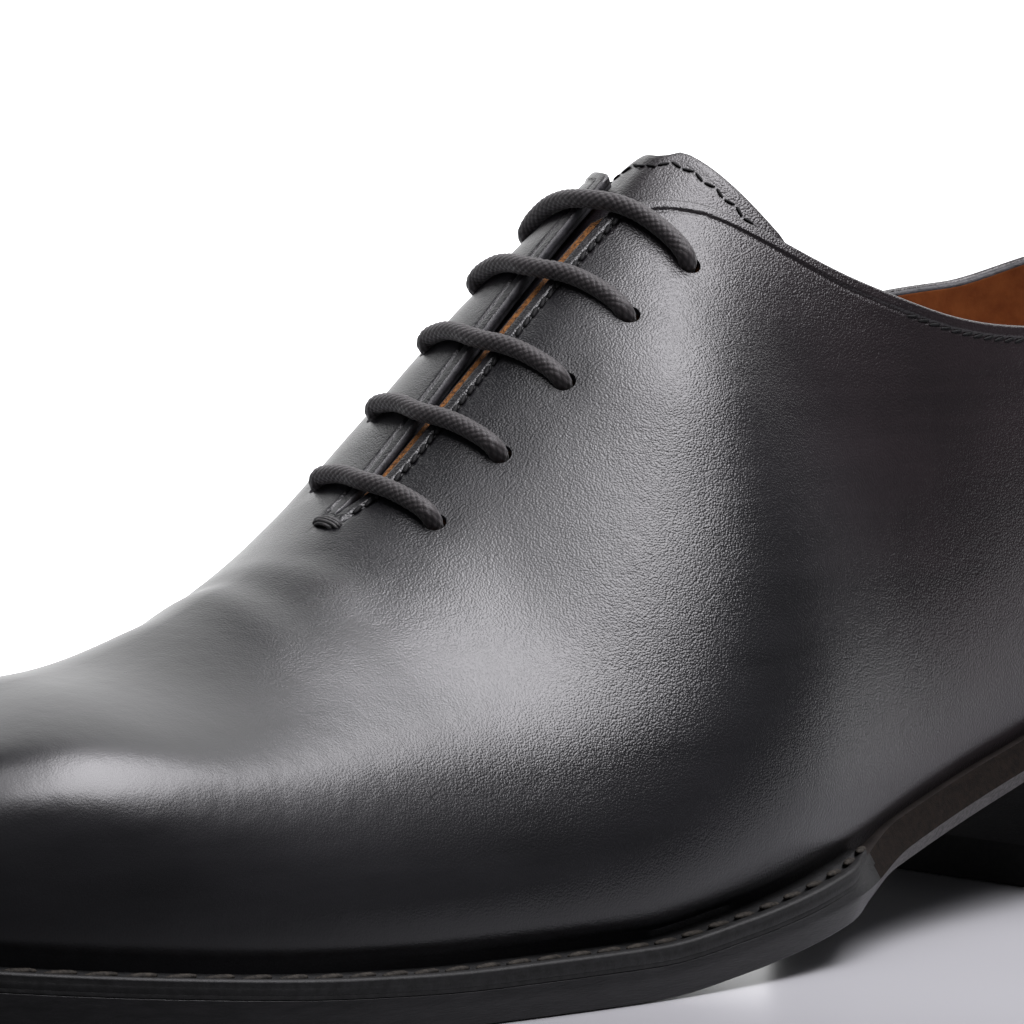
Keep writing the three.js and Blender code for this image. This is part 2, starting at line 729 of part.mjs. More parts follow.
function barEnd(hole, towards) {
  const across = towards.clone().sub(hole.centre);
  across.addScaledVector(hole.normal, -across.dot(hole.normal)).normalize();
  const bend = eyeletDiameter / 2;
  const points = [-0.8 * wall, 0].map((rise) => hole.centre.clone().addScaledVector(hole.normal, rise));
  for (const turned of [Math.PI / 4, Math.PI / 2]) {
    points.push(hole.centre.clone()
      .addScaledVector(across, bend * (1 - Math.cos(turned)))
      .addScaledVector(hole.normal, bend * Math.sin(turned)));
  }
  const top = slitEdge(hole.u);
  for (const share of [0.4, 0.7, 1]) {
    const v = hole.v + (top - hole.v) * share;
    points.push(surface(hole.u, v).addScaledVector(surfaceNormal(hole.u, Math.min(v, 0.999)), bend));
  }
  return points;
}

function barGeometry(pair) {
  const near = barEnd(pair.lateral, pair.medial.centre);
  const far = barEnd(pair.medial, pair.lateral.centre);
  const route = new LaceRoute([...near, ...far.reverse()]);
  const section = new THREE.Shape();
  section.absarc(0, 0, laceDiameter / 2, 0, 2 * Math.PI);
  return bare(new THREE.ExtrudeGeometry(section, {
    steps: 18,
    curveSegments: 4,
    bevelEnabled: false,
    extrudePath: route,
  }));
}

// Materials and the finished group
const leather = () => new THREE.MeshStandardMaterial({ color: 0x2b2a2d, roughness: 0.38, metalness: 0 });
const lining = () => new THREE.MeshStandardMaterial({ color: 0x6b3a22, roughness: 0.7, metalness: 0 });
const edgeInk = () => new THREE.MeshStandardMaterial({ color: 0x19191b, roughness: 0.45, metalness: 0 });
const rubber = () => new THREE.MeshStandardMaterial({ color: 0x141414, roughness: 0.8, metalness: 0 });
const waxedCord = () => new THREE.MeshStandardMaterial({ color: 0x39363a, roughness: 0.55, metalness: 0 });

const shoe = new THREE.Group();

function add(name, geometry, material) {
  const mesh = new THREE.Mesh(geometry, material);
  mesh.name = name;
  shoe.add(mesh);
}

add('upper', upperGeometry(), leather());
add('tongue', tongueGeometry(), leather());
add('insole', insoleGeometry(), lining());
add('welt', weltGeometry(), edgeInk());
add('outsole', outsoleGeometry(), edgeInk());
add('top_piece', liftGeometry(0, topPieceThickness), rubber());
for (let i = 1; i < liftCount; i += 1) {
  const low = topPieceThickness + liftThickness * (i - 1);
  add(`heel_lift_${liftCount + 1 - i}`, liftGeometry(low, low + liftThickness), edgeInk());
}
add('heel_lift_1', dishedLiftGeometry(topPieceThickness + liftThickness * (liftCount - 1)), edgeInk());
eyelets.forEach((pair, i) => add(`lace_bar_${i + 1}`, barGeometry(pair), waxedCord()));

export default shoe;
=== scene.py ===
import math

import bpy
import numpy as np
from mathutils import Matrix, Vector


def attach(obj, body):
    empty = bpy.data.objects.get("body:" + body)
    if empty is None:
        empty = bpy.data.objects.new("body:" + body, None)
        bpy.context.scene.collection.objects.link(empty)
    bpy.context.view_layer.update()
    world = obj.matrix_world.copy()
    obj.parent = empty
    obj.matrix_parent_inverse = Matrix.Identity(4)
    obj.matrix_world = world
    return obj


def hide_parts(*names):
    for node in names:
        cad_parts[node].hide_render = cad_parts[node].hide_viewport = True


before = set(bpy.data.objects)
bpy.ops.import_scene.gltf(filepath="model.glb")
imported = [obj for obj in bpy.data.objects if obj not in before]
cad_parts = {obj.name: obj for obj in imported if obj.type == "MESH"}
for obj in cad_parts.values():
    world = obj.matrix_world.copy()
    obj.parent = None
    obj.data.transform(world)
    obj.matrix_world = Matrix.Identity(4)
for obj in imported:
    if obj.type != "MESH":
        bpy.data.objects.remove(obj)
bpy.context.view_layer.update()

# A whole cut oxford, left shoe. Sizes are in millimetres until a mesh is made, in the frame's axes:
# +Z up, toe to -Y, outer side +X, origin on the floor under the middle of the heel.
# A station is a distance from the heel's back towards the toe: y = HEEL_CENTRE - station.
MM = 0.001

# Driving sizes, the same as the model's, but for the lace, which is 0.1 mm thicker
LAST_LENGTH = 288
BALL_WIDTH = 90
INSTEP_HEIGHT = 95
COLLAR_HEIGHT = 58
HEEL_HEIGHT = 27
TOE_SPRING = 5
WALL = 2
GAP = 0.3
WELT_THICKNESS = 2.4
OUTSOLE_THICKNESS = 4.7
EDGE_WIDTH = 5
WELT_SEAT = 3.6
INSOLE_RIM = 1.4
TOP_PIECE_THICKNESS = 6
LIFT_THICKNESS = 5.5
LIFT_COUNT = 3
HEEL_TAPER = 1.6
TONGUE_THICKNESS = 1.5
TONGUE_ROOM = 0.7
LACE_DIAMETER = 2.7
EYELET_DIAMETER = 3.3
EYELET_PAIRS = 5
EYELET_PITCH = 14.6
FIRST_EYELET = 6.6
EYELET_INSET_LOW = 13.5
EYELET_INSET_TOP = 16
MEDIAL_NEARER = 2.5
THROAT_STATION = 183.7
FACING_GAP_TOP = 4.6
FACING_GAP_LOW = 0.8
WELT_END = 128
HEEL_BREAST = 64.5
TONGUE_LAP = 16
TONGUE_RISE = 14.5
TONGUE_TILT = 2.5
FOREPART_HEIGHT = OUTSOLE_THICKNESS + WELT_THICKNESS + 2 * GAP
HEEL_PITCH = HEEL_HEIGHT - WELT_THICKNESS
HEEL_CENTRE = HEEL_BREAST / 2
CORNER_STATION = 0.455 * LAST_LENGTH

# Sizes that only the finish has
LEATHER = 1.2            # the upper's leather, outside its lining
LINING_FROM = 0.75       # the lining's outer face under the surface
EDGE_INSET = 0.2         # the leather's rounded edge stands back from the model's trimmed edge
FACING_BACK = 1.3        # along the outer facing it stands back further and shows the raw lining
EDGE_STRIP = 1.35        # folded strip along the facings and the topline
EDGE_GROOVE = 0.7        # width of the stitched groove behind that strip
FOOT_TURN = 1.0          # how far the leather turns in over the welt, and from how high
FOOT_REACH = 4.5
STITCH_PITCH = 2.0
WELT_STITCH_PITCH = 5.4
BRAID_STEP = 0.13        # distance between the rings of a braid
EYELET_DENT = 0.25       # how deep the laces press the leather in at the eyelets, and how far round them
EYELET_DENT_REACH = 2.6
SOLE_CHAMFER = 0.16
SOLE_EDGE_STEPS = 5
HEEL_RIM = 0.22          # softened rims of the lifts
WAIST_FINISH_END = 126   # station where the waist's brown finish ends
TONGUE_LEATHER = 0.95    # its leather, and from how deep its lining lies under its face
TONGUE_LINING_FROM = 1.0
TONGUE_GROOVE = 2.7      # from its edge to the stitched groove

# Half sections of the last from the toe tip to the heel's back, as in the model.
SECTION_COLUMNS = ["station", "lateral", "medial", "bulge_lateral", "bulge_medial",
                   "rise_lateral", "rise_medial", "ridge", "top", "crown",
                   "shoulder_lateral", "shoulder_medial", "drop"]
SECTIONS = [
    [1.000, -0.044, -0.044, 0.045, 0.045, 0.130, 0.130, 0.920, 0.000, 0.293, 0.145, 0.145, 0.000],
    [0.991, 0.073, -0.162, 0.040, 0.045, 0.160, 0.150, 0.917, 0.000, 0.299, 0.190, 0.145, 0.000],
    [0.967, 0.184, -0.251, 0.035, 0.045, 0.210, 0.170, 0.906, 0.000, 0.320, 0.260, 0.155, 0.000],
    [0.929, 0.289, -0.320, 0.030, 0.045, 0.260, 0.185, 0.885, 0.000, 0.341, 0.305, 0.150, 0.000],
    [0.875, 0.389, -0.373, 0.030, 0.045, 0.270, 0.195, 0.851, 0.000, 0.365, 0.300, 0.200, 0.000],
    [0.806, 0.464, -0.418, 0.050, 0.050, 0.240, 0.190, 0.799, 0.000, 0.390, 0.255, 0.180, 0.000],
    [0.729, 0.497, -0.442, 0.095, 0.055, 0.200, 0.205, 0.727, 0.000, 0.465, 0.225, 0.120, 0.000],
    [0.649, 0.523, -0.420, 0.130, 0.070, 0.185, 0.255, 0.649, 0.000, 0.545, 0.250, 0.250, 0.000],
    [0.566, 0.530, -0.344, 0.175, 0.100, 0.205, 0.315, 0.566, 0.000, 0.704, 0.310, 0.310, 0.000],
    [0.483, 0.507, -0.269, 0.135, 0.135, 0.265, 0.370, 0.486, 0.000, 0.865, 0.280, 0.295, 0.000],
    [0.399, 0.438, -0.231, 0.095, 0.155, 0.265, 0.400, 0.410, 0.017, 0.996, 0.190, 0.225, 0.032],
    [0.316, 0.382, -0.244, 0.095, 0.145, 0.290, 0.380, 0.337, 0.078, 1.105, 0.165, 0.175, 0.147],
    [0.233, 0.355, -0.293, 0.090, 0.110, 0.310, 0.335, 0.253, 0.133, 1.174, 0.150, 0.145, 0.274],
    [0.153, 0.344, -0.322, 0.080, 0.085, 0.315, 0.315, 0.170, 0.167, 1.185, 0.120, 0.120, 0.358],
    [0.083, 0.316, -0.304, 0.075, 0.075, 0.305, 0.305, 0.104, 0.150, 1.180, 0.110, 0.110, 0.421],
    [0.033, 0.229, -0.222, 0.065, 0.065, 0.295, 0.295, 0.066, 0.106, 1.179, 0.090, 0.090, 0.463],
    [0.007, 0.120, -0.116, 0.065, 0.065, 0.295, 0.295, 0.052, 0.056, 1.179, 0.065, 0.065, 0.484],
    [0.000, 0.000, 0.000, 0.065, 0.065, 0.295, 0.295, 0.047, 0.000, 1.179, 0.055, 0.055, 0.484],
]
FEATHER_COLUMNS = ["at", "pitch", "spring"]
FEATHER_ROWS = [
    [0.000, 1.000, 0], [0.104, 0.965, 0], [0.208, 0.860, 0], [0.295, 0.640, 0],
    [0.382, 0.430, 0], [0.469, 0.235, 0], [0.556, 0.075, 0], [0.622, 0, 0],
    [0.722, 0, 0], [0.806, 0, 0.18], [0.889, 0, 0.50], [1.000, 0, 1.00],
]
RIDGE_COLUMNS = ["at", "x"]
RIDGE_ROWS = [
    [0.05, 0.000], [0.21, -0.016], [0.35, -0.034], [0.49, -0.046],
    [0.65, -0.046], [0.80, -0.040], [0.92, -0.046],
]
# The topline is up to 2 mm higher at the quarter and 1 mm lower at the collar than the model's.
TOPLINE_COLUMNS = ["at", "collar", "instep", "medial"]
TOPLINE_ROWS = [
    [0.000, 1.000, 0.000, 0.000], [0.010, 0.996, 0.000, 0.000], [0.042, 0.940, 0.000, 0.000],
    [0.097, 0.866, 0.000, 0.000],
    [0.139, 0.862, 0.000, 0.000], [0.208, 0.820, 0.052, -0.012], [0.270, 0.620, 0.229, -0.010],
    [0.309, 0.440, 0.385, 0.000], [0.344, 0.260, 0.555, 0.010], [0.375, 0.100, 0.717, 0.020],
    [0.392, 0.040, 0.797, 0.025], [0.414, 0.000, 0.878, 0.030], [0.428, 0.000, 0.905, 0.031],
    [0.442, 0.000, 0.916, 0.030], [0.456, 0.000, 0.914, 0.027], [0.470, 0.000, 0.902, 0.022],
    [0.500, 0.000, 0.900, 0.020],
]
EDGE_COLUMNS = ["at", "out", "crest", "under", "dip", "ridge", "base"]
EDGE_ROWS = [
    [0.000, 0.34, 0.36, 0.34, 0, 0.50, 1.00], [0.200, 0.30, 0.34, 0.30, 0, 0.50, 1.06],
    [0.260, 0.12, 0.44, 0.14, 0, 0.56, 1.28], [0.400, 0.12, 0.50, 0.14, 0, 0.56, 1.42],
    [0.440, 0.34, 0.72, 0.44, 0.35, 0.54, 1.30], [0.476, 0.92, 1.00, 0.90, 1, 0.30, 1.00],
    [0.520, 1.00, 1.02, 0.96, 1, 0.30, 1.00], [1.000, 1.00, 1.02, 0.96, 1, 0.30, 1.00],
]


def table(columns, rows):
    values = np.array(rows, float)
    return {name: values[:, i] for i, name in enumerate(columns)}


def along(rows, key):
    """A smooth curve through the rows of a table, with straight ends."""
    at, value = rows["at"], rows[key]
    width = np.diff(at)
    secant = np.diff(value) / width
    slope = np.zeros(len(at))
    slope[0], slope[-1] = secant[0], secant[-1]
    for i in range(1, len(at) - 1):
        before, after = secant[i - 1], secant[i]
        if before * after > 0:
            weight = (width[i - 1] + 2 * width[i]) / (3 * (width[i - 1] + width[i]))
            slope[i] = before * after / (weight * after + (1 - weight) * before)

    def curve(share):
        share = np.asarray(share, float)
        i = np.clip(np.searchsorted(at, share) - 1, 0, len(at) - 2)
        t = np.clip((share - at[i]) / width[i], 0, 1)
        left = value[i] * (1 + 2 * t) * (1 - t) ** 2 + slope[i] * width[i] * t * (1 - t) ** 2
        right = value[i + 1] * t * t * (3 - 2 * t) + slope[i + 1] * width[i] * t * t * (t - 1)
        low = value[0] + slope[0] * (share - at[0])
        high = value[-1] + slope[-1] * (share - at[-1])
        return np.where(share < at[0], low, np.where(share > at[-1], high, left + right))
    return curve


def around(values):
    """A closed curve through evenly spaced values, with continuous curvature."""
    values = np.asarray(values, float)
    count = len(values)
    system = 4 * np.eye(count) + np.roll(np.eye(count), 1, 0) + np.roll(np.eye(count), -1, 0)
    bend = np.linalg.solve(system, 6 * (np.roll(values, 1) - 2 * values + np.roll(values, -1)))

    def curve(u):
        u = np.mod(u, count)
        i = np.floor(u).astype(int) % count
        j = (i + 1) % count
        b = u - np.floor(u)
        a = 1 - b
        return a * values[i] + b * values[j] + ((a ** 3 - a) * bend[i] + (b ** 3 - b) * bend[j]) / 6
    return curve


# The last's curves
SECTION = table(SECTION_COLUMNS, SECTIONS)
LAST_ROW = len(SECTIONS) - 1
TURN = 2 * LAST_ROW


def loop(lateral_values, medial_values):
    return around(np.concatenate([lateral_values, medial_values[1:-1][::-1]]))


def mirrored(name):
    return loop(SECTION[name], SECTION[name])


station = mirrored("station")
breadth = loop(SECTION["lateral"], SECTION["medial"])
bulge = loop(SECTION["bulge_lateral"], SECTION["bulge_medial"])
rise = loop(SECTION["rise_lateral"], SECTION["rise_medial"])
ridge_station = mirrored("ridge")
top_half = loop(SECTION["top"], -SECTION["top"])
crown = mirrored("crown")
shoulder = loop(SECTION["shoulder_lateral"], SECTION["shoulder_medial"])
drop = mirrored("drop")
feather_table = table(FEATHER_COLUMNS, FEATHER_ROWS)
pitch_share = along(feather_table, "pitch")
spring_share = along(feather_table, "spring")
ridge_share = along(table(RIDGE_COLUMNS, RIDGE_ROWS), "x")
topline_table = table(TOPLINE_COLUMNS, TOPLINE_ROWS)
collar_share = along(topline_table, "collar")
instep_share = along(topline_table, "instep")
medial_share = along(topline_table, "medial")
crown_table = {"at": SECTION["ridge"][:12][::-1], "crown": SECTION["crown"][:12][::-1]}
crown_share = along(crown_table, "crown")
edge_table = table(EDGE_COLUMNS, EDGE_ROWS)
edge = {key: along(edge_table, key) for key in EDGE_COLUMNS[1:]}


def smoothstep(x, low, high):
    t = np.clip((x - low) / (high - low), 0, 1)
    return t * t * (3 - 2 * t)


def unit(vectors):
    return vectors / np.maximum(np.linalg.norm(vectors, axis=-1, keepdims=True), 1e-12)


def feather_height(s):
    share = s / LAST_LENGTH
    return FOREPART_HEIGHT + HEEL_PITCH * pitch_share(share) + TOE_SPRING * spring_share(share)


def ridge_x(s):
    return BALL_WIDTH * ridge_share(s / LAST_LENGTH)


def ridge_height(s):
    return feather_height(s) + INSTEP_HEIGHT * crown_share(s / LAST_LENGTH)


def ridge_slope(s):
    h = 0.5
    at = np.clip(s, 0.50 * LAST_LENGTH, 0.92 * LAST_LENGTH)
    faded = smoothstep(s, 0.38 * LAST_LENGTH, 0.50 * LAST_LENGTH)
    return faded * (ridge_height(at + h) - ridge_height(at - h)) / (2 * h)


def place(x, s, z):
    return np.stack(np.broadcast_arrays(x, HEEL_CENTRE - s, z), -1).astype(float)


def station_of(points):
    return HEEL_CENTRE - points[..., 1]


def outward(u):
    h = 1e-3
    dx = BALL_WIDTH * (breadth(u + h) - breadth(u - h))
    dy = -LAST_LENGTH * (station(u + h) - station(u - h))
    return unit(np.stack([dy, -dx, np.zeros_like(dx)], -1))


def feather(u, out=0.0, depth=0.0):
    """A point of the feather line moved out by a distance and down by a depth under the line."""
    p = place(BALL_WIDTH * breadth(u), LAST_LENGTH * station(u), 0.0)
    p = p + outward(u) * np.asarray(out, float)[..., None]
    p[..., 2] = feather_height(station_of(p)) - depth
    return p


def surface(u, v):
    """The last: u runs round the foot and v up a half section to the ridge."""
    u, v = np.broadcast_arrays(np.asarray(u, float), np.asarray(v, float))
    out = outward(u)
    foot = feather(u)
    low = foot + out * (BALL_WIDTH * bulge(u))[..., None]
    low[..., 2] += INSTEP_HEIGHT * rise(u)
    s = LAST_LENGTH * ridge_station(u)
    half = np.where(s < THROAT_STATION - 1e-6, BALL_WIDTH * top_half(u), 0.0)
    top = place(ridge_x(s) + half, s, feather_height(s) + INSTEP_HEIGHT * crown(u))
    reach = BALL_WIDTH * shoulder(u)
    high = top + out * reach[..., None]
    high[..., 2] -= INSTEP_HEIGHT * drop(u) + out[..., 1] * reach * ridge_slope(s)
    v = v[..., None]
    w = 1 - v
    return w ** 3 * foot + 3 * w * w * v * low + 3 * w * v * v * high + v ** 3 * top


def surface_normal(u, v):
    u, v = np.broadcast_arrays(np.asarray(u, float), np.asarray(v, float))
    h = 1e-3
    along_u = surface(u + h, v) - surface(u - h, v)
    along_v = surface(u, np.minimum(v + h, 1)) - surface(u, np.maximum(v - h, 0))
    normal = unit(np.cross(along_u, along_v))
    s = LAST_LENGTH * ridge_station(u)
    on_ridge = (v > 0.9999) & (s > THROAT_STATION - 1e-6)
    ridge_normal = unit(np.stack([np.zeros_like(s), ridge_slope(s), np.ones_like(s)], -1))
    return np.where(on_ridge[..., None], ridge_normal, normal)


def topline_over(points):
    s = station_of(points)
    at = s / LAST_LENGTH
    higher = np.where(points[..., 0] < ridge_x(s), medial_share(at), 0.0)
    return (feather_height(s) + COLLAR_HEIGHT * collar_share(at)
            + INSTEP_HEIGHT * (instep_share(at) + higher))


def slit_half(s):
    share = np.clip((THROAT_STATION - s) / (THROAT_STATION - CORNER_STATION), 0, 1.2)
    half = (FACING_GAP_LOW + (FACING_GAP_TOP - FACING_GAP_LOW) * share) / 2
    outside = (s >= THROAT_STATION) | (s < crown_table["at"][0] * LAST_LENGTH)
    return np.where(outside, 0.0, half)


def in_slit(points, inset_lateral, inset_medial):
    s = station_of(points)
    beside = points[..., 0] - ridge_x(s)
    inset = np.where(beside > 0, inset_lateral, inset_medial)
    faded = inset * smoothstep(THROAT_STATION - s, 0, 6)
    return np.abs(beside) < slit_half(s) + np.where(slit_half(s) > 0, faded, 0)


def trimmed(u, inset_lateral=0.0, inset_medial=0.0, inset_top=0.0, slit_only=False):
    """How far half sections run up before the slit or the topline trims them."""
    u = np.asarray(u, float)
    low = np.full(u.shape, 0.3)
    high = np.ones(u.shape)
    for _ in range(36):
        mid = (low + high) / 2
        p = surface(u, mid)
        past = in_slit(p, inset_lateral, inset_medial)
        if not slit_only:
            past = past | (p[..., 2] > topline_over(p) - inset_top)
        high = np.where(past, mid, high)
        low = np.where(past, low, mid)
    whole = LAST_LENGTH * ridge_station(u) > THROAT_STATION - 1e-6
    return np.where(whole, 1.0, low)


def section_where(curve, s):
    s = np.asarray(s, float)
    low = np.zeros(s.shape)
    high = np.full(s.shape, float(LAST_ROW))
    for _ in range(44):
        mid = (low + high) / 2
        before = LAST_LENGTH * curve(mid) > s
        low = np.where(before, mid, low)
        high = np.where(before, high, mid)
    return low


def lateral(t):
    return np.asarray(t, float)


def medial(t):
    return TURN - np.asarray(t, float)


def corner_of(side):
    """The section where a side stops ending at the slit and ends at the topline."""
    low, high = 8.0, 12.0
    for _ in range(36):
        mid = (low + high) / 2
        u = side(np.array([mid]))
        p = surface(u, trimmed(u))
        if p[0, 2] > topline_over(p)[0] - 0.01:
            high = mid
        else:
            low = mid
    return high


# Meshes
def mesh_object(name, points, faces, materials, slots=None, sharp=None):
    mesh = bpy.data.meshes.new(name)
    mesh.from_pydata((np.asarray(points) * MM).tolist(), [], faces)
    for material in materials:
        mesh.materials.append(material)
    if slots is not None:
        mesh.polygons.foreach_set("material_index", np.asarray(slots, np.int32))
    mesh.polygons.foreach_set("use_smooth", np.ones(len(mesh.polygons), bool))
    mesh.validate()
    mesh.update()
    if sharp is not None:
        mesh.set_sharp_from_angle(angle=math.radians(sharp))
    piece = bpy.data.objects.new(name, mesh)
    bpy.context.scene.collection.objects.link(piece)
    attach(piece, "root")
    return piece


def grid_faces(columns, rows, closed, start=0, flip=False):
    faces = []
    spans = columns if closed else columns - 1
    for i in range(spans):
        a = start + i * rows
        b = start + ((i + 1) % columns) * rows
        for j in range(rows - 1):
            quad = (a + j, b + j, b + j + 1, a + j + 1)
            faces.append(quad[::-1] if flip else quad)
    return faces


def weld(points, faces, tolerance=2e-3):
    """Merges points that lie together and drops faces that collapse."""
    keys = np.round(points / tolerance).astype(np.int64)
    _, first, index = np.unique(keys, axis=0, return_index=True, return_inverse=True)
    index = np.asarray(index).ravel()
    kept = []
    source = []
    for k, face in enumerate(faces):
        corners = []
        for corner in index[list(face)]:
            if not corners or corners[-1] != corner:
                corners.append(int(corner))
        if len(corners) > 1 and corners[0] == corners[-1]:
            corners.pop()
        if len(corners) > 2 and len(set(corners)) == len(corners):
            kept.append(corners)
            source.append(k)
    return points[first], kept, source


def catmull(points, steps):
    """A smooth curve through points, with centripetal spacing."""
    points = np.asarray(points, float)
    ends = [2 * points[0] - points[1]], [2 * points[-1] - points[-2]]
    p = np.concatenate([ends[0], points, ends[1]])
    knots = np.concatenate([[0], np.cumsum(np.linalg.norm(np.diff(p, axis=0), axis=1) ** 0.5)])
    out = []
    for i in range(1, len(p) - 2):
        t0, t1, t2, t3 = knots[i - 1:i + 3]
        t = np.linspace(t1, t2, steps, endpoint=i == len(p) - 3)[:, None]
        a1 = (t1 - t) / (t1 - t0) * p[i - 1] + (t - t0) / (t1 - t0) * p[i]
        a2 = (t2 - t) / (t2 - t1) * p[i] + (t - t1) / (t2 - t1) * p[i + 1]
        a3 = (t3 - t) / (t3 - t2) * p[i + 1] + (t - t2) / (t3 - t2) * p[i + 2]
        b1 = (t2 - t) / (t2 - t0) * a1 + (t - t0) / (t2 - t0) * a2
        b2 = (t3 - t) / (t3 - t1) * a2 + (t - t1) / (t3 - t1) * a3
        out.append((t2 - t) / (t2 - t1) * b1 + (t - t1) / (t2 - t1) * b2)
    return np.concatenate(out)


def even(points, step, closed=False):
    """Points evenly spaced along a polyline."""
    if closed:
        points = np.concatenate([points, points[:1]])
    arc = np.concatenate([[0], np.cumsum(np.linalg.norm(np.diff(points, axis=0), axis=1))])
    count = max(2, int(round(arc[-1] / step)) + 1)
    at = np.linspace(0, arc[-1], count)
    return np.stack([np.interp(at, arc, points[:, k]) for k in range(points.shape[1])], -1)


def stitches(centres, directions, normals, length, width, height):
    """Small rounded threads, one at each centre, as one mesh."""
    around_count, along_count = 8, 6
    phi = np.linspace(0, 2 * np.pi, around_count, endpoint=False)
    theta = np.linspace(0, np.pi, along_count + 1)[1:-1]
    ring = [(np.cos(t), np.sin(t) * np.cos(p), np.sin(t) * np.sin(p)) for t in theta for p in phi]
    local = np.array([(1, 0, 0)] + ring + [(-1, 0, 0)], float)
    local[:, 0] = np.sign(local[:, 0]) * np.abs(local[:, 0]) ** 0.8
    last = len(local) - 1
    faces = []
    for k in range(around_count):
        n = (k + 1) % around_count
        faces.append((0, 1 + k, 1 + n))
        base = 1 + (len(theta) - 1) * around_count
        faces.append((last, base + n, base + k))
        for j in range(len(theta) - 1):
            a = 1 + j * around_count
            b = a + around_count
            faces.append((a + k, b + k, b + n, a + n))
    directions = unit(directions - (directions * normals).sum(-1, keepdims=True) * normals)
    side = np.cross(normals, directions)
    scaled = local * np.array([length / 2, width / 2, height / 2])
    points = (centres[:, None] + scaled[None, :, 0:1] * directions[:, None]
              + scaled[None, :, 1:2] * side[:, None] + scaled[None, :, 2:3] * normals[:, None])
    every = []
    for i in range(len(centres)):
        every += [tuple(c + i * len(local) for c in face) for face in faces]
    return points.reshape(-1, 3), every


def join(parts):
    """Joins lists of (points, faces) into one."""
    points, faces, start = [], [], 0
    for some, quads in parts:
        points.append(some)
        faces += [tuple(c + start for c in face) for face in quads]
        start += len(some)
    return np.concatenate(points), faces


# Materials
def new_material(name):
    material = bpy.data.materials.new(name)
    material.use_nodes = True
    return material, material.node_tree.nodes, material.node_tree.links


def noise(nodes, links, vector, scale, detail=4.0, roughness=0.5):
    node = nodes.new("ShaderNodeTexNoise")
    node.inputs["Scale"].default_value = scale
    node.inputs["Detail"].default_value = detail
    node.inputs["Roughness"].default_value = roughness
    links.new(vector, node.inputs["Vector"])
    return node.outputs["Fac"]


def ramp(nodes, links, value, stops):
    node = nodes.new("ShaderNodeValToRGB")
    node.color_ramp.elements[0].position = stops[0][0]
    node.color_ramp.elements[0].color = (*stops[0][1], 1)
    node.color_ramp.elements[1].position = stops[-1][0]
    node.color_ramp.elements[1].color = (*stops[-1][1], 1)
    for position, colour in stops[1:-1]:
        node.color_ramp.elements.new(position).color = (*colour, 1)
    links.new(value, node.inputs["Fac"])
    return node.outputs["Color"]


def math_node(nodes, links, operation, a, b):
    node = nodes.new("ShaderNodeMath")
    node.operation = operation
    for socket, value in zip(node.inputs, (a, b)):
        if isinstance(value, (int, float)):
            socket.default_value = value
        else:
            links.new(value, socket)
    return node.outputs[0]


def mapping(nodes, links, vector, scale=(1, 1, 1), rotation=(0, 0, 0)):
    node = nodes.new("ShaderNodeMapping")
    node.inputs["Scale"].default_value = scale
    node.inputs["Rotation"].default_value = rotation
    links.new(vector, node.inputs["Vector"])
    return node.outputs[0]


def map_range(nodes, links, value, low, high, to_low, to_high):
    node = nodes.new("ShaderNodeMapRange")
    node.interpolation_type = "SMOOTHSTEP"
    for name, number in (("From Min", low), ("From Max", high), ("To Min", to_low), ("To Max", to_high)):
        node.inputs[name].default_value = number
    links.new(value, node.inputs["Value"])
    return node.outputs[0]


def bump(nodes, links, height, distance, strength, normal=None):
    node = nodes.new("ShaderNodeBump")
    node.inputs["Distance"].default_value = distance
    if isinstance(strength, (int, float)):
        node.inputs["Strength"].default_value = strength
    else:
        links.new(strength, node.inputs["Strength"])
    links.new(height, node.inputs["Height"])
    if normal is not None:
        links.new(normal, node.inputs["Normal"])
    return node.outputs[0]


def pebble(nodes, links, vector, cell):
    """Leather grain: low pillows between fine creases, a cell wide in metres."""
    warp = nodes.new("ShaderNodeTexNoise")
    warp.inputs["Scale"].default_value = 0.6 / cell
    warp.inputs["Detail"].default_value = 2
    links.new(vector, warp.inputs["Vector"])
    shift = nodes.new("ShaderNodeVectorMath")
    shift.operation = "MULTIPLY_ADD"
    links.new(warp.outputs["Color"], shift.inputs[0])
    shift.inputs[1].default_value = (cell * 0.9,) * 3
    links.new(vector, shift.inputs[2])
    cells = nodes.new("ShaderNodeTexVoronoi")
    cells.inputs["Scale"].default_value = 1 / cell
    links.new(shift.outputs[0], cells.inputs["Vector"])
    return math_node(nodes, links, "SUBTRACT", 1.0, cells.outputs["Distance"])


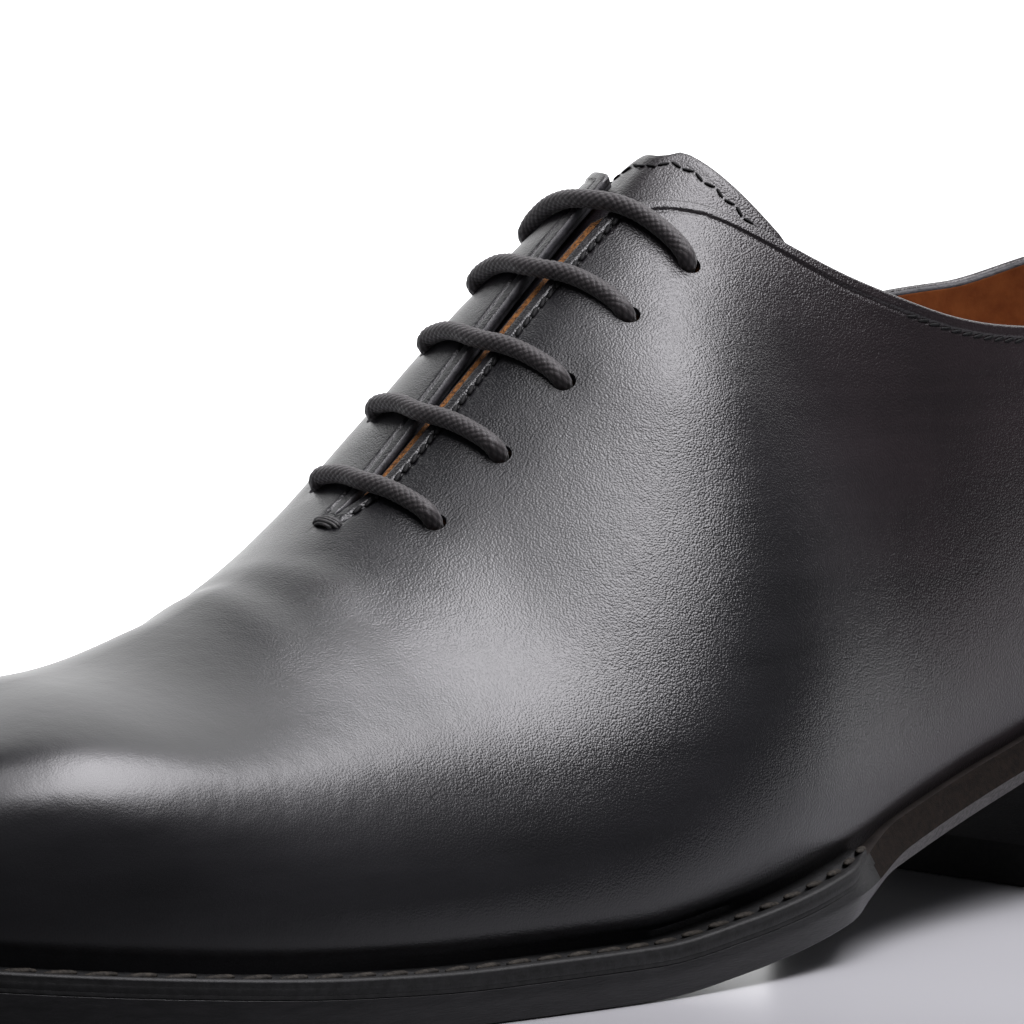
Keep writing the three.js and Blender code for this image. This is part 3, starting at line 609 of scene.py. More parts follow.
def leather_material():
    material, nodes, links = new_material("charcoal_calf")
    shader = nodes["Principled BSDF"]
    where = nodes.new("ShaderNodeTexCoord").outputs["Object"]
    split = nodes.new("ShaderNodeSeparateXYZ")
    links.new(where, split.inputs[0])
    backward = map_range(nodes, links, split.outputs["Y"], -0.125, -0.055, 0, 1)
    cloud = noise(nodes, links, where, 28, 3, 0.55)
    streak_space = mapping(nodes, links, where, (60, 18, 150), (0.5, 0, 0.4))
    streak = noise(nodes, links, streak_space, 1.0, 5, 0.6)
    mixed = math_node(nodes, links, "ADD", math_node(nodes, links, "MULTIPLY", cloud, 0.55),
                      math_node(nodes, links, "MULTIPLY", streak, 0.45))
    black = ramp(nodes, links, mixed, [(0.36, (0.0036, 0.0035, 0.0045)), (0.62, (0.0095, 0.0092, 0.0110))])
    plum = ramp(nodes, links, mixed, [(0.36, (0.0060, 0.0035, 0.0045)), (0.62, (0.0150, 0.0092, 0.0110))])
    tint = nodes.new("ShaderNodeMixRGB")
    links.new(backward, tint.inputs["Fac"])
    links.new(black, tint.inputs["Color1"])
    links.new(plum, tint.inputs["Color2"])
    links.new(tint.outputs[0], shader.inputs["Base Color"])
    polish = math_node(nodes, links, "MULTIPLY_ADD", streak, 0.10)
    polish.node.inputs[2].default_value = 0.24
    links.new(polish, shader.inputs["Roughness"])
    shader.inputs["Specular IOR Level"].default_value = 0.52
    grain = pebble(nodes, links, where, 0.00031)
    grain_amount = map_range(nodes, links, split.outputs["Y"], -0.215, -0.120, 0.10, 0.55)
    soft = noise(nodes, links, where, 260, 3, 0.5)
    n1 = bump(nodes, links, soft, 0.0006, 0.10)
    n2 = bump(nodes, links, grain, 0.00010, grain_amount, n1)
    links.new(n2, shader.inputs["Normal"])
    return material


def plain_material(name, dark, light, roughness, scale, depth, specular=0.4, sheen=0.0, stretch=(1, 1, 1)):
    """A noisy two-tone finish with a fine relief."""
    material, nodes, links = new_material(name)
    shader = nodes["Principled BSDF"]
    where = nodes.new("ShaderNodeTexCoord").outputs["Object"]
    space = mapping(nodes, links, where, stretch)
    tone = noise(nodes, links, space, scale, 6, 0.6)
    links.new(ramp(nodes, links, tone, [(0.35, dark), (0.65, light)]), shader.inputs["Base Color"])
    shader.inputs["Roughness"].default_value = roughness
    shader.inputs["Specular IOR Level"].default_value = specular
    shader.inputs["Sheen Weight"].default_value = sheen
    fine = noise(nodes, links, space, scale * 4, 4, 0.6)
    links.new(bump(nodes, links, fine, depth, 0.8), shader.inputs["Normal"])
    return material


CALF = leather_material()
RAW_EDGE = plain_material("inked_leather_edge", (0.014, 0.014, 0.016), (0.050, 0.048, 0.054), 0.50,
                          900, 0.00010)
LINING = plain_material("cognac_lining", (0.22, 0.065, 0.018), (0.32, 0.105, 0.030), 0.55, 300, 0.00005)
RAW_LINING = plain_material("raw_lining_edge", (0.025, 0.009, 0.002), (0.34, 0.135, 0.030), 0.85,
                            2300, 0.00025)
THREAD = plain_material("black_thread", (0.002, 0.002, 0.002), (0.006, 0.006, 0.007), 0.6,
                        3000, 0.00005, specular=0.2)
TACK_THREAD = plain_material("tack_thread", (0.020, 0.020, 0.021), (0.085, 0.082, 0.082), 0.55,
                             2200, 0.00008)
WELT_THREAD = plain_material("grey_brown_thread", (0.007, 0.006, 0.005), (0.042, 0.036, 0.029), 0.7,
                             1400, 0.00012, specular=0.2)
WELT_LEATHER = plain_material("inked_welt", (0.004, 0.004, 0.004), (0.012, 0.012, 0.0125), 0.55,
                              700, 0.00008, specular=0.3)
SOLE_EDGE = plain_material("inked_sole_edge", (0.004, 0.004, 0.0045), (0.011, 0.0105, 0.0115), 0.40,
                           420, 0.00008, specular=0.35, stretch=(1, 0.35, 3))
SOLE_WAIST = plain_material("inked_waist", (0.0030, 0.0018, 0.0012), (0.0105, 0.0066, 0.0046), 0.8,
                            1100, 0.00014, specular=0.12)
# A lighter grey strip on the lower faces of the waist's edge.
SOLE_RIM = plain_material("light_grey_lower_waist_edge", (0.030, 0.028, 0.027), (0.110, 0.104, 0.104), 0.6,
                          1600, 0.00010, specular=0.3)
SOLE_BOTTOM = plain_material("inked_sole_bottom", (0.012, 0.009, 0.008), (0.024, 0.019, 0.017), 0.5,
                             500, 0.00006)
HEEL_EDGE = plain_material("inked_heel", (0.004, 0.004, 0.0045), (0.010, 0.0095, 0.0105), 0.38,
                           500, 0.00006, stretch=(1, 1, 6))
RUBBER = plain_material("black_rubber", (0.006, 0.006, 0.006), (0.012, 0.012, 0.012), 0.7, 900, 0.00006)
SOCK = plain_material("cognac_sock", (0.28, 0.11, 0.035), (0.40, 0.17, 0.06), 0.5, 240, 0.00004)


def lace_material():
    material, nodes, links = new_material("waxed_braid")
    shader = nodes["Principled BSDF"]
    where = nodes.new("ShaderNodeTexCoord").outputs["Object"]
    height = nodes.new("ShaderNodeAttribute")
    height.attribute_name = "braid_height_for_shade"
    # The braid's own dark brown-grey with painted shade: its hollows between strands are coloured near
    # black.
    braid_shade_tones = [(0.0, (0.0020, 0.0016, 0.0018)), (0.6, (0.020, 0.016, 0.017)), (1.0, (0.046, 0.038, 0.040))]
    base = ramp(nodes, links, height.outputs["Fac"], braid_shade_tones)
    links.new(base, shader.inputs["Base Color"])
    shader.inputs["Roughness"].default_value = 0.52
    shader.inputs["Specular IOR Level"].default_value = 0.45
    shader.inputs["Sheen Weight"].default_value = 0.25
    fibre = noise(nodes, links, where, 6500, 3, 0.6)
    links.new(bump(nodes, links, fibre, 0.00008, 0.8), shader.inputs["Normal"])
    return material


BRAID = lace_material()

# Upper: its leather and its lining, two layers of one shell
CORNER_CLUSTER = [-0.30, -0.22, -0.15, -0.10, -0.06, -0.03, 0.0, 0.02, 0.04, 0.07, 0.10, 0.14, 0.18,
                  0.23, 0.29, 0.36]
THROAT_SECTION = float(section_where(ridge_station, np.array(THROAT_STATION)))
CORNERS = [corner_of(side) for side in (lateral, medial)]


def section_steps(per_row):
    base = np.arange(0, LAST_ROW * per_row + 1) / per_row
    exact = [THROAT_SECTION, THROAT_SECTION + 0.02, THROAT_SECTION + 0.05, THROAT_SECTION + 0.09]
    for corner in CORNERS:
        exact += [corner + step for step in CORNER_CLUSTER]
    exact = np.array(sorted(exact))
    keep = np.concatenate([[True], np.diff(exact) > 0.012])
    exact = exact[keep]
    near = np.min(np.abs(base[:, None] - exact[None]), axis=1)
    return np.sort(np.concatenate([base[near > 0.02], exact]))


def soft_relief(points):
    """Soft troughs and swells of the vamp and quarters, outwards in millimetres."""
    x = points[..., 0]
    s = station_of(points)
    z = points[..., 2]
    height = np.zeros(x.shape)
    for cx, cs, along_x, along_s, turn, deep in CREASES:
        ct, st = math.cos(turn), math.sin(turn)
        dx = (x - cx) * ct + (s - cs) * st
        ds = (s - cs) * ct - (x - cx) * st
        height += deep * np.exp(-(dx / along_x) ** 2 - (ds / along_s) ** 2)
    outer_side = smoothstep(x - ridge_x(s), 2, 10)
    for cs, cz, along_s, along_z, high in SWELLS:
        height += outer_side * high * np.exp(-((s - cs) / along_s) ** 2 - ((z - cz) / along_z) ** 2)
    return height


# Swells of the outer side: station, height over the floor, reach along, reach up and height
SWELLS = [
    (143.0, 79.0, 13.0, 11.0, 1.1),
    (215.0, 35.0, 48.0, 6.5, 0.6),
]
# Creases: sideways place, station, reach across, reach along, turn and height, in millimetres and radians
CREASES = [
    (-6.0, 203.0, 17.0, 2.6, 0.10, -0.30),
    (-3.0, 209.0, 20.0, 3.0, 0.16, 0.22),
    (2.0, 197.0, 14.0, 2.8, -0.10, 0.20),
    (6.0, 190.0, 10.0, 3.2, -0.30, -0.22),
    (14.0, 196.0, 6.0, 4.5, 0.50, -0.25),
    (-14.0, 214.0, 10.0, 3.0, 0.20, -0.22),
    (24.0, 178.0, 7.0, 6.0, 0.40, -0.25),
    (20.0, 205.0, 8.0, 5.0, 0.30, 0.20),
]


def edge_relief(points, distance):
    """The folded strip along the leather's edge and the groove behind it, lower along the topline."""
    strip = 0.18 * (1 - smoothstep(distance, EDGE_STRIP - 0.25, EDGE_STRIP + 0.1))
    middle = EDGE_STRIP + EDGE_GROOVE / 2
    facing = smoothstep(station_of(points), CORNER_STATION - 4, CORNER_STATION + 3)
    width = (0.38 + 0.17 * facing) * EDGE_GROOVE
    groove = -(0.14 + 0.26 * facing) * np.exp(-((distance - middle) / width) ** 2)
    return strip + groove


def nearest(points, curve):
    """Distance from each point to the nearest point of a curve."""
    flat = points.reshape(-1, 3)
    out = np.empty(len(flat))
    for start in range(0, len(flat), 4000):
        block = flat[start:start + 4000]
        gap = block[:, None] - curve[None]
        out[start:start + 4000] = np.sqrt((gap ** 2).sum(-1).min(1))
    return out.reshape(points.shape[:-1])


def layer_grid(sections, insets, rows, edge_rows, edge_reach):
    """u and v of a layer: rows up each section, closer together near its top."""
    u = np.concatenate([lateral(sections), medial(sections[1:-1])[::-1]])
    top = trimmed(u, *insets)
    speed = np.linalg.norm(surface(u, top) - surface(u, top - 0.01), axis=-1) / 0.01
    reach = np.minimum(edge_reach / speed, 0.3)
    share = np.linspace(0, 1, rows)
    fine = np.linspace(0, 1, edge_rows + 1)[1:]
    fine = 1 - (1 - fine) ** 1.5
    v = np.concatenate([share[None] * (top - reach)[:, None],
                        (top - reach)[:, None] + fine[None] * reach[:, None]], 1)
    return u, v


def leather_relief(points, curve):
    """Creases, swells, the folded strip with its groove and the dents at the eyelets, outwards."""
    lift = soft_relief(points) + edge_relief(points, nearest(points, even(curve, 0.25)))
    for pair in EYELETS:
        for hole in pair:
            away = np.linalg.norm(points - hole["centre"], axis=-1)
            lift -= EYELET_DENT * np.exp(-(away / EYELET_DENT_REACH) ** 2)
    return lift


def rounded_rim(outer, inner, away, thick, steps):
    """Rings between the edges of two faces, rounded out by a little under half the thickness."""
    order = np.arange(len(outer))
    fade = smoothstep(np.minimum(order, order[::-1]), 0, 3)[:, None]
    rings = []
    for k in range(1, steps):
        turned = math.pi * k / steps
        blend = (1 - math.cos(turned)) / 2
        out = math.sin(turned) * thick * 0.45 * fade
        rings.append(outer * (1 - blend) + inner * blend + away * out)
    return np.stack(rings, 1)


def layer_faces(columns, count, rim, rings, rim_slot):
    """Faces of a layer and their slots: 0 outside, 1 inside, and round the rim as rim_slot says.

    Its points are the outer face, the inner face, the rings of the rim and two lines under the foot.
    """
    half = columns * count
    foot_start = 2 * half + len(rim) * rings
    under_start = foot_start + columns
    outside = grid_faces(columns, count, True)
    inside = grid_faces(columns, count, True, half, True)
    faces = outside + inside
    slots = [0] * len(outside) + [1] * len(inside)

    def over_rim(i):
        edge_point = rim[i] * count + count - 1
        return [edge_point] + [2 * half + i * rings + k for k in range(rings)] + [half + edge_point]
    for i in range(len(rim) - 1):
        left, right = over_rim(i), over_rim(i + 1)
        for k in range(len(left) - 1):
            faces.append((left[k], right[k], right[k + 1], left[k + 1]))
            slots.append(rim_slot(i, k))
    for i in range(columns):
        n = (i + 1) % columns
        faces.append((i * count, foot_start + i, foot_start + n, n * count))
        faces.append((under_start + i, half + i * count, half + n * count, under_start + n))
        faces.append((foot_start + i, under_start + i, under_start + n, foot_start + n))
        slots += [0, 1, 1]
    return faces, slots


def layer(name, sections, insets, outer_depth, inner_depth, rows, edge_rows, edge_reach, round_to,
          materials, relief, foot_drop):
    """One layer of the upper: two faces, a rounded rim past the throat and a foot that turns under.

    It has rows up each section and edge rows within a reach of its rim, round_to steps round the rim
    and a foot that goes down by foot_drop. Only the leather has the relief of creases and stitching.
    """
    u, v = layer_grid(sections, insets, rows, edge_rows, edge_reach)
    uu = np.broadcast_to(u[:, None], v.shape)
    base = surface(uu, v)
    normal = surface_normal(uu, v)
    rim = np.where(LAST_LENGTH * ridge_station(u) < THROAT_STATION - 1e-3)[0]
    rim = np.arange(rim[0] - 1, rim[-1] + 2)
    curve = base[rim, -1]
    foot_turn = FOOT_TURN * (1 - smoothstep(nearest(base, even(base[:, 0], 0.6)), 0, FOOT_REACH)) ** 1.5
    lift = leather_relief(base, curve) - foot_turn if relief else -foot_turn
    inner_lift = -foot_turn if not relief else np.zeros(v.shape)
    outer = base + normal * (lift - outer_depth)[..., None]
    inner = base + normal * (inner_lift - inner_depth)[..., None]
    away = np.cross(unit(np.gradient(curve, axis=0)), normal[rim, -1])
    down = base[rim, -2] - curve
    away = unit(away * -np.sign((away * down).sum(-1, keepdims=True)))
    rings = rounded_rim(outer[rim, -1], inner[rim, -1], away, inner_depth - outer_depth, round_to)
    drop = np.array([0, 0, foot_drop])
    points = np.concatenate([outer.reshape(-1, 3), inner.reshape(-1, 3), rings.reshape(-1, 3),
                             outer[:, 0] - drop, inner[:, 0] - drop])
    collar = station_of(curve) < CORNER_STATION - 4
    faces, slots = layer_faces(*v.shape, rim, round_to - 1,
                               lambda i, k: 0 if relief and (k == 0 or collar[i]) else 2)
    welded, kept, source = weld(points, faces)
    piece = mesh_object(name, welded, kept, materials, np.array(slots)[source])
    return piece, {"curve": curve, "normal": normal[rim, -1], "away": away}


# Eyelets
def ridge_walk(distance):
    s = np.linspace(THROAT_STATION, 0.3 * LAST_LENGTH, 401)
    arc = np.concatenate([[0], np.cumsum(np.hypot(np.diff(s), np.diff(ridge_height(s))))])
    return np.interp(distance, arc, s)


def walk_down(u, distance):
    v = np.linspace(float(trimmed(np.array([u]), slit_only=True)[0]), 0.3, 400)
    p = surface(np.full(v.shape, u), v)
    arc = np.concatenate([[0], np.cumsum(np.linalg.norm(np.diff(p, axis=0), axis=1))])
    return float(np.interp(distance, arc, v))


def eyelet(side, pair):
    inset = EYELET_INSET_LOW + (EYELET_INSET_TOP - EYELET_INSET_LOW) * pair / (EYELET_PAIRS - 1)
    s = ridge_walk(FIRST_EYELET + EYELET_PITCH * pair)
    u = float(side(section_where(ridge_station, np.array(s))))
    v = walk_down(u, inset - MEDIAL_NEARER if side is medial else inset)
    return {"u": u, "v": v, "centre": surface(u, v), "normal": surface_normal(u, v)}


EYELETS = [(eyelet(lateral, pair), eyelet(medial, pair)) for pair in range(EYELET_PAIRS)]


def punch(piece):
    """Cuts the eyelets through a layer."""
    parts = []
    sides = 24
    for pair in EYELETS:
        for hole in pair:
            normal = hole["normal"]
            across = unit(np.cross(normal, [0.0, 0.0, 1.0]))
            other = np.cross(normal, across)
            ring = []
            for depth in (3 * WALL, -3 * WALL):
                for k in range(sides):
                    turned = 2 * math.pi * k / sides
                    ring.append(hole["centre"] + normal * depth + EYELET_DIAMETER / 2
                                * (across * math.cos(turned) + other * math.sin(turned)))
            faces = [tuple(range(sides)), tuple(range(2 * sides - 1, sides - 1, -1))]
            for k in range(sides):
                n = (k + 1) % sides
                faces.append((k, sides + k, sides + n, n))
            parts.append((np.array(ring), faces))
    points, faces = join(parts)
    mesh = bpy.data.meshes.new("punch")
    mesh.from_pydata((points * MM).tolist(), [], faces)
    mesh.materials.append(RAW_EDGE)
    cutter = bpy.data.objects.new("punch", mesh)
    bpy.context.scene.collection.objects.link(cutter)
    cut = piece.modifiers.new("eyelets", "BOOLEAN")
    cut.operation = "DIFFERENCE"
    cut.solver = "MANIFOLD"
    cut.object = cutter
    graph = bpy.context.evaluated_depsgraph_get()
    made = bpy.data.meshes.new_from_object(piece.evaluated_get(graph))
    old = piece.data
    piece.modifiers.clear()
    piece.data = made
    made.name = old.name
    bpy.data.meshes.remove(old)
    bpy.data.objects.remove(cutter)
    bpy.data.meshes.remove(mesh)
    made.set_sharp_from_angle(angle=math.radians(48))


def make_upper():
    sections = section_steps(13)
    insets = (FACING_BACK, EDGE_INSET, EDGE_INSET)
    leather, rim = layer("upper", sections, insets, outer_depth=0.0, inner_depth=LEATHER, rows=52,
                         edge_rows=22, edge_reach=4.5, round_to=6, materials=[CALF, RAW_EDGE, RAW_EDGE],
                         relief=True, foot_drop=1.4)
    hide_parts("upper")
    punch(leather)
    coarse = section_steps(8)
    insets = (-0.85, 0.6, 0.35)
    lining, _ = layer("lining", coarse, insets, outer_depth=LINING_FROM, inner_depth=WALL, rows=30,
                      edge_rows=6, edge_reach=4.0, round_to=4, materials=[RAW_LINING, LINING, RAW_LINING],
                      relief=False, foot_drop=0.0)
    punch(lining)
    edge_stitches(rim)


def edge_stitches(rim):
    """The zigzag row in the groove along the outer facing and the topline."""
    curve = np.concatenate([rim["curve"], rim["normal"], rim["away"]], 1)
    run = even(curve[3:-3], STITCH_PITCH / 2)
    away = unit(run[:, 6:9])
    middle = EDGE_STRIP + EDGE_GROOVE / 2
    row = np.concatenate([run[:, :3] - away * middle, run[:, 3:]], 1)
    far = np.linalg.norm(np.diff(row[:, :3], axis=0), axis=1)
    row = even(row[:-1][far > 0.3 * STITCH_PITCH / 2], STITCH_PITCH)
    s = station_of(row[:, :3])
    outer = row[:, 0] > ridge_x(s)
    parts = []
    for chosen, width, height in (((s > CORNER_STATION - 1) & outer, 0.85, 0.66),
                                  (s < 0.34 * LAST_LENGTH, 0.46, 0.34)):
        part = row[chosen]
        normals, away = unit(part[:, 3:6]), unit(part[:, 6:9])
        centres = part[:, :3] + normals * 0.02
        directions = unit(np.gradient(centres, axis=0)) + away * 0.34
        parts.append(stitches(centres, directions, normals, STITCH_PITCH * 1.04, width, height))
    points, faces = join(parts)
    mesh_object("edge_stitches", points, faces, [THREAD])


# Bar tack: a few threads across the bottom of the slit
TACK_THREADS = 5
TACK_THREAD_RADIUS = 0.27
TACK_HALF = 2.6
TACK_BELOW = 1.7         # from the throat towards the toe


def make_bar_tack():
    parts = []
    for k in range(TACK_THREADS):
        across = 2 * k / (TACK_THREADS - 1) - 1
        swell = math.sqrt(1 - 0.6 * across ** 2)
        half = TACK_HALF * swell
        x = np.linspace(-half, half, 15)
        s = THROAT_STATION + TACK_BELOW + 0.80 * across + 0.10 * x
        z = ridge_height(s) - 0.012 * x ** 2
        centre = place(ridge_x(s) + x, s, z)
        normal = unit(np.stack([np.zeros_like(s), ridge_slope(s), np.ones_like(s)], -1))
        lift = 0.85 * swell * np.sqrt(np.maximum(1 - (x / half) ** 2, 0)) - 0.15
        path = centre + normal * lift[:, None]
        parts.append(tube(path, TACK_THREAD_RADIUS, 8))
    points, faces = join(parts)
    mesh_object("bar_tack", points, faces, [TACK_THREAD])


def tube_faces(count, sides):
    """Faces of a closed tube with a number of rings."""
    faces = []
    for i in range(count - 1):
        for k in range(sides):
            n = (k + 1) % sides
            faces.append((i * sides + k, i * sides + n, (i + 1) * sides + n, (i + 1) * sides + k))
    faces.append(tuple(range(sides - 1, -1, -1)))
    faces.append(tuple(range((count - 1) * sides, count * sides)))
    return faces


def tube(path, radius, sides):
    """A closed round tube along a path."""
    path = np.asarray(path, float)
    tangent = unit(np.gradient(path, axis=0))
    up = np.array([0.0, 0.0, 1.0])
    first = unit(np.cross(tangent, up) + 1e-9)
    second = np.cross(tangent, first)
    turned = np.linspace(0, 2 * np.pi, sides, endpoint=False)
    rings = path[:, None] + radius * (
        np.cos(turned)[None, :, None] * first[:, None] + np.sin(turned)[None, :, None] * second[:, None])
    return rings.reshape(-1, 3), tube_faces(len(path), sides)


# Tongue
TONGUE_FOOT = 0.17 * BALL_WIDTH
TONGUE_HEAD = 0.40 * BALL_WIDTH
TONGUE_HEAD_INNER = 0.30 * BALL_WIDTH
TONGUE_CORNER = 9.0      # how far the tongue's head falls off to its corners
TONGUE_LEAN = 7.5        # how much longer it is on the outer side
TONGUE_FLAT_OUTER = 0.70 # how far out its head is straight before it rounds off, on each side
TONGUE_FLAT_INNER = 0.18


def ridge_arc(at):
    s = np.linspace(THROAT_STATION, at, 401)
    return float(np.hypot(np.diff(s), np.diff(ridge_height(s))).sum())


def beside_ridge(s, distance, depth):
    """Points beside the ridge by a distance over the surface and under it by a depth, with normals."""
    left = distance < 0
    reach = np.abs(distance)
    section = section_where(ridge_station, s)
    u = np.where(left, TURN - section, section)
    flat = np.where(s >= THROAT_STATION, 0.0, np.abs(BALL_WIDTH * top_half(u)))
    v = np.linspace(1, 0.3, 120)
    p = surface(u[:, None], v[None])
    arc = np.cumsum(np.linalg.norm(np.diff(p, axis=1), axis=2), axis=1)
    arc = np.concatenate([np.zeros((len(arc), 1)), arc], 1)
    at = np.array([np.interp(max(r - f, 0), a, v) for r, f, a in zip(reach, flat, arc)])
    on = surface(u, at)
    level = reach <= flat
    on[level, 0] = (ridge_x(s) + distance)[level]
    top_normal = unit(np.stack([np.zeros_like(s), ridge_slope(s), np.ones_like(s)], -1))
    blend = smoothstep(reach, flat * 0.4, flat + 3)[:, None]
    normal = unit(top_normal * (1 - blend) + surface_normal(u, np.minimum(at, 0.999)) * blend)
    return on - normal * depth, normal


def tongue_grid(across, spans, spread, longer, depth):
    """The tongue's grid: q goes across it from the inner side and rows go up it."""
    reach = ridge_arc(CORNER_STATION) + TONGUE_RISE + longer
    q = np.linspace(-1, 1, across)[:, None]
    share = (1 - (1 - np.linspace(0, 1, spans)) ** 1.25)[None]
    outer_fall = (q - TONGUE_FLAT_OUTER) / (1 - TONGUE_FLAT_OUTER)
    inner_fall = (-q - TONGUE_FLAT_INNER) / (1 - TONGUE_FLAT_INNER)
    fall = np.clip(np.where(q > 0, outer_fall, inner_fall), 0, 1)
    rounded = TONGUE_CORNER * (0.75 * fall ** 2 + 0.25 * (1 - np.sqrt(np.clip(1 - fall ** 2.6, 0, 1))))
    lean = TONGUE_TILT * q + TONGUE_LEAN * np.maximum(q, 0) ** 1.3
    arc = -TONGUE_LAP + (reach + TONGUE_LAP + lean - rounded * share ** 3) * share
    s = np.where(arc < 0, THROAT_STATION - arc, ridge_walk(np.maximum(arc, 0)))
    head = np.where(q > 0, TONGUE_HEAD, TONGUE_HEAD_INNER)
    half = TONGUE_FOOT + (head - TONGUE_FOOT) * share + spread
    points, normals = beside_ridge(s.ravel(), (q * half).ravel(), depth)
    return points.reshape(across, spans, 3), normals.reshape(across, spans, 3)


def sheet_mesh(outer, inner, slots_for):
    """Two grids joined round their four edges."""
    columns, rows = outer.shape[:2]
    half = columns * rows
    faces = grid_faces(columns, rows, False)
    slots = [slots_for[0]] * len(faces)
    back = grid_faces(columns, rows, False, half, True)
    faces += back
    slots += [slots_for[1]] * len(back)
    border = []
    for i in range(columns - 1):
        border.append((i * rows, (i + 1) * rows, half + (i + 1) * rows, half + i * rows))
        a, b = i * rows + rows - 1, (i + 1) * rows + rows - 1
        border.append((b, a, half + a, half + b))
    last = (columns - 1) * rows
    for j in range(rows - 1):
        border.append((j + 1, j, half + j, half + j + 1))
        border.append((last + j, last + j + 1, half + last + j + 1, half + last + j))
    faces += border
    slots += [slots_for[2]] * len(border)
    return np.concatenate([outer.reshape(-1, 3), inner.reshape(-1, 3)]), faces, slots


def make_tongue():
    face = WALL + TONGUE_ROOM
    outer, normals = tongue_grid(41, 64, 0.0, 0.0, face)
    near = nearest(outer, even(outer[:, -1], 0.4))
    side_near = np.minimum(near, nearest(outer, outer[0]))
    side_near = np.minimum(side_near, nearest(outer, outer[-1]))
    groove = -0.16 * np.exp(-((side_near - TONGUE_GROOVE) / 0.5) ** 2)
    round_off = -0.35 * np.exp(-(side_near / 0.35) ** 2)
    outer_face = outer + normals * (groove + round_off)[..., None]
    inner_face = outer - normals * TONGUE_LEATHER
    points, faces, slots = sheet_mesh(outer_face, inner_face, (0, 1, 1))
    tongue = mesh_object("tongue", points, faces, [CALF, RAW_EDGE], slots, sharp=60)
    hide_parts("tongue")
    rim_outer, rim_normals = tongue_grid(33, 44, 0.3, 0.35, face + TONGUE_LINING_FROM)
    rim_inner = rim_outer - rim_normals * (TONGUE_THICKNESS - TONGUE_LINING_FROM)
    points, faces, slots = sheet_mesh(rim_outer, rim_inner, (1, 0, 1))
    mesh_object("tongue_lining", points, faces, [LINING, RAW_LINING], slots, sharp=60)
    top = np.concatenate([outer[:, -1], normals[:, -1]], 1)
    inner_dir = unit(outer[:, -4] - outer[:, -1])
    run = even(np.concatenate([top, inner_dir], 1)[4:-4], 1.9)
    centres = run[:, :3] + unit(run[:, 6:9]) * TONGUE_GROOVE
    directions = np.gradient(centres, axis=0)
    swing = np.where(np.arange(len(centres)) % 2 == 0, 1, -1)[:, None]
    directions = unit(directions) + unit(run[:, 6:9]) * 0.35 * swing
    points, faces = stitches(centres, directions, unit(run[:, 3:6]), 1.75, 0.5, 0.4)
    mesh_object("tongue_stitches", points, faces, [THREAD])


# Lace bars
def bar_end(hole, towards, radius):
    """The centre line from a hidden end up through an eyelet to the facing."""
    across = towards["centre"] - hole["centre"]
    across = unit(across - across.dot(hole["normal"]) * hole["normal"])
    dive = [(0.55, -2.4 * WALL), (0.45, -1.1 * WALL), (0.42, -0.30), (0.95, 0.66)]
    points = [hole["centre"] + across * inward + hole["normal"] * height for inward, height in dive]
    top = float(trimmed(np.array([hole["u"]]), slit_only=True)[0])
    for share, sunk in ((0.17, 0.25), (0.32, 0.12), (0.55, 0), (0.78, 0), (1, 0)):
        v = hole["v"] + (top - hole["v"]) * share
        normal = surface_normal(hole["u"], min(v, 0.999))
        points.append(surface(hole["u"], v) + normal * (radius - sunk))
    return points


def braid(path, radius):
    """A round braid along a path: two sets of strands that pass over and under each other."""
    sides, strands, pitch = 72, 9, 1.15
    path = even(path, BRAID_STEP)
    tangent = unit(np.gradient(path, axis=0))
    first = np.zeros_like(path)
    first[0] = unit(np.cross(tangent[0], [0.3, 0.2, 1.0]))
    for i in range(1, len(path)):
        moved = first[i - 1] - first[i - 1].dot(tangent[i]) * tangent[i]
        first[i] = moved / np.linalg.norm(moved)
    second = np.cross(tangent, first)
    arc = np.arange(len(path)) * BRAID_STEP
    turned = np.linspace(0, 1, sides, endpoint=False)
    a = strands * turned[None] + arc[:, None] / pitch
    b = strands * turned[None] - arc[:, None] / pitch
    over = (np.floor(a) + np.floor(b)) % 2 == 0
    fa = a - np.floor(a) - 0.5
    fb = b - np.floor(b) - 0.5
    across = np.where(over, fa, fb)
    run = np.where(over, fb, fa)
    height = np.sqrt(np.clip(1 - (1.9 * across) ** 2, 0, 1)) * (0.55 + 0.45 * np.cos(np.pi * run))
    size = radius * (0.90 + 0.12 * height)
    rings = path[:, None] + size[..., None] * (
        np.cos(2 * np.pi * turned)[None, :, None] * first[:, None]
        + np.sin(2 * np.pi * turned)[None, :, None] * second[:, None])
    return rings.reshape(-1, 3), tube_faces(len(path), sides), height.reshape(-1)


def make_laces():
    """The five bars, in the places of the model's own, with the braid's height kept for the painted shade
    in its hollows.
    """
    radius = LACE_DIAMETER / 2
    for i, (near, far) in enumerate(EYELETS):
        path = catmull(bar_end(near, far, radius) + bar_end(far, near, radius)[::-1], 14)
        points, faces, height = braid(path, radius)
        lace = mesh_object(f"lace_{i + 1}", points, faces, [BRAID])
        # the braid's height, kept for the painted shade in its hollows
        braid_height_for_shade = lace.data.attributes.new("braid_height_for_shade", "FLOAT", "POINT")
        braid_height_for_shade.data.foreach_set("value", height.astype(np.float32))
        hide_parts(f"lace_bar_{i + 1}")


# Sole and heel
def share_of(s):
    return np.clip(s / LAST_LENGTH, 0, 1)


def dip(s):
    return np.clip(edge["dip"](share_of(s)), 0, 1)


def sole_top(s):
    return GAP + WELT_THICKNESS * dip(s) + GAP * np.minimum(1, 3 * dip(s))


def sole_base(s):
    return sole_top(s) + OUTSOLE_THICKNESS * edge["base"](share_of(s))


def sole_crest(s):
    return sole_top(s) + edge["ridge"](share_of(s)) * (sole_base(s) - sole_top(s))


def edge_out(key, s):
    return EDGE_WIDTH * edge[key](share_of(s))


def ring(sections, out, depth):
    """A ring of points round the foot: lateral from toe to heel, medial back, out and down by functions."""
    u = np.concatenate([lateral(sections), medial(sections)[::-1]])
    s = LAST_LENGTH * station(u)
    p = feather(u, out(s))
    p[..., 2] -= depth(station_of(p))
    return p


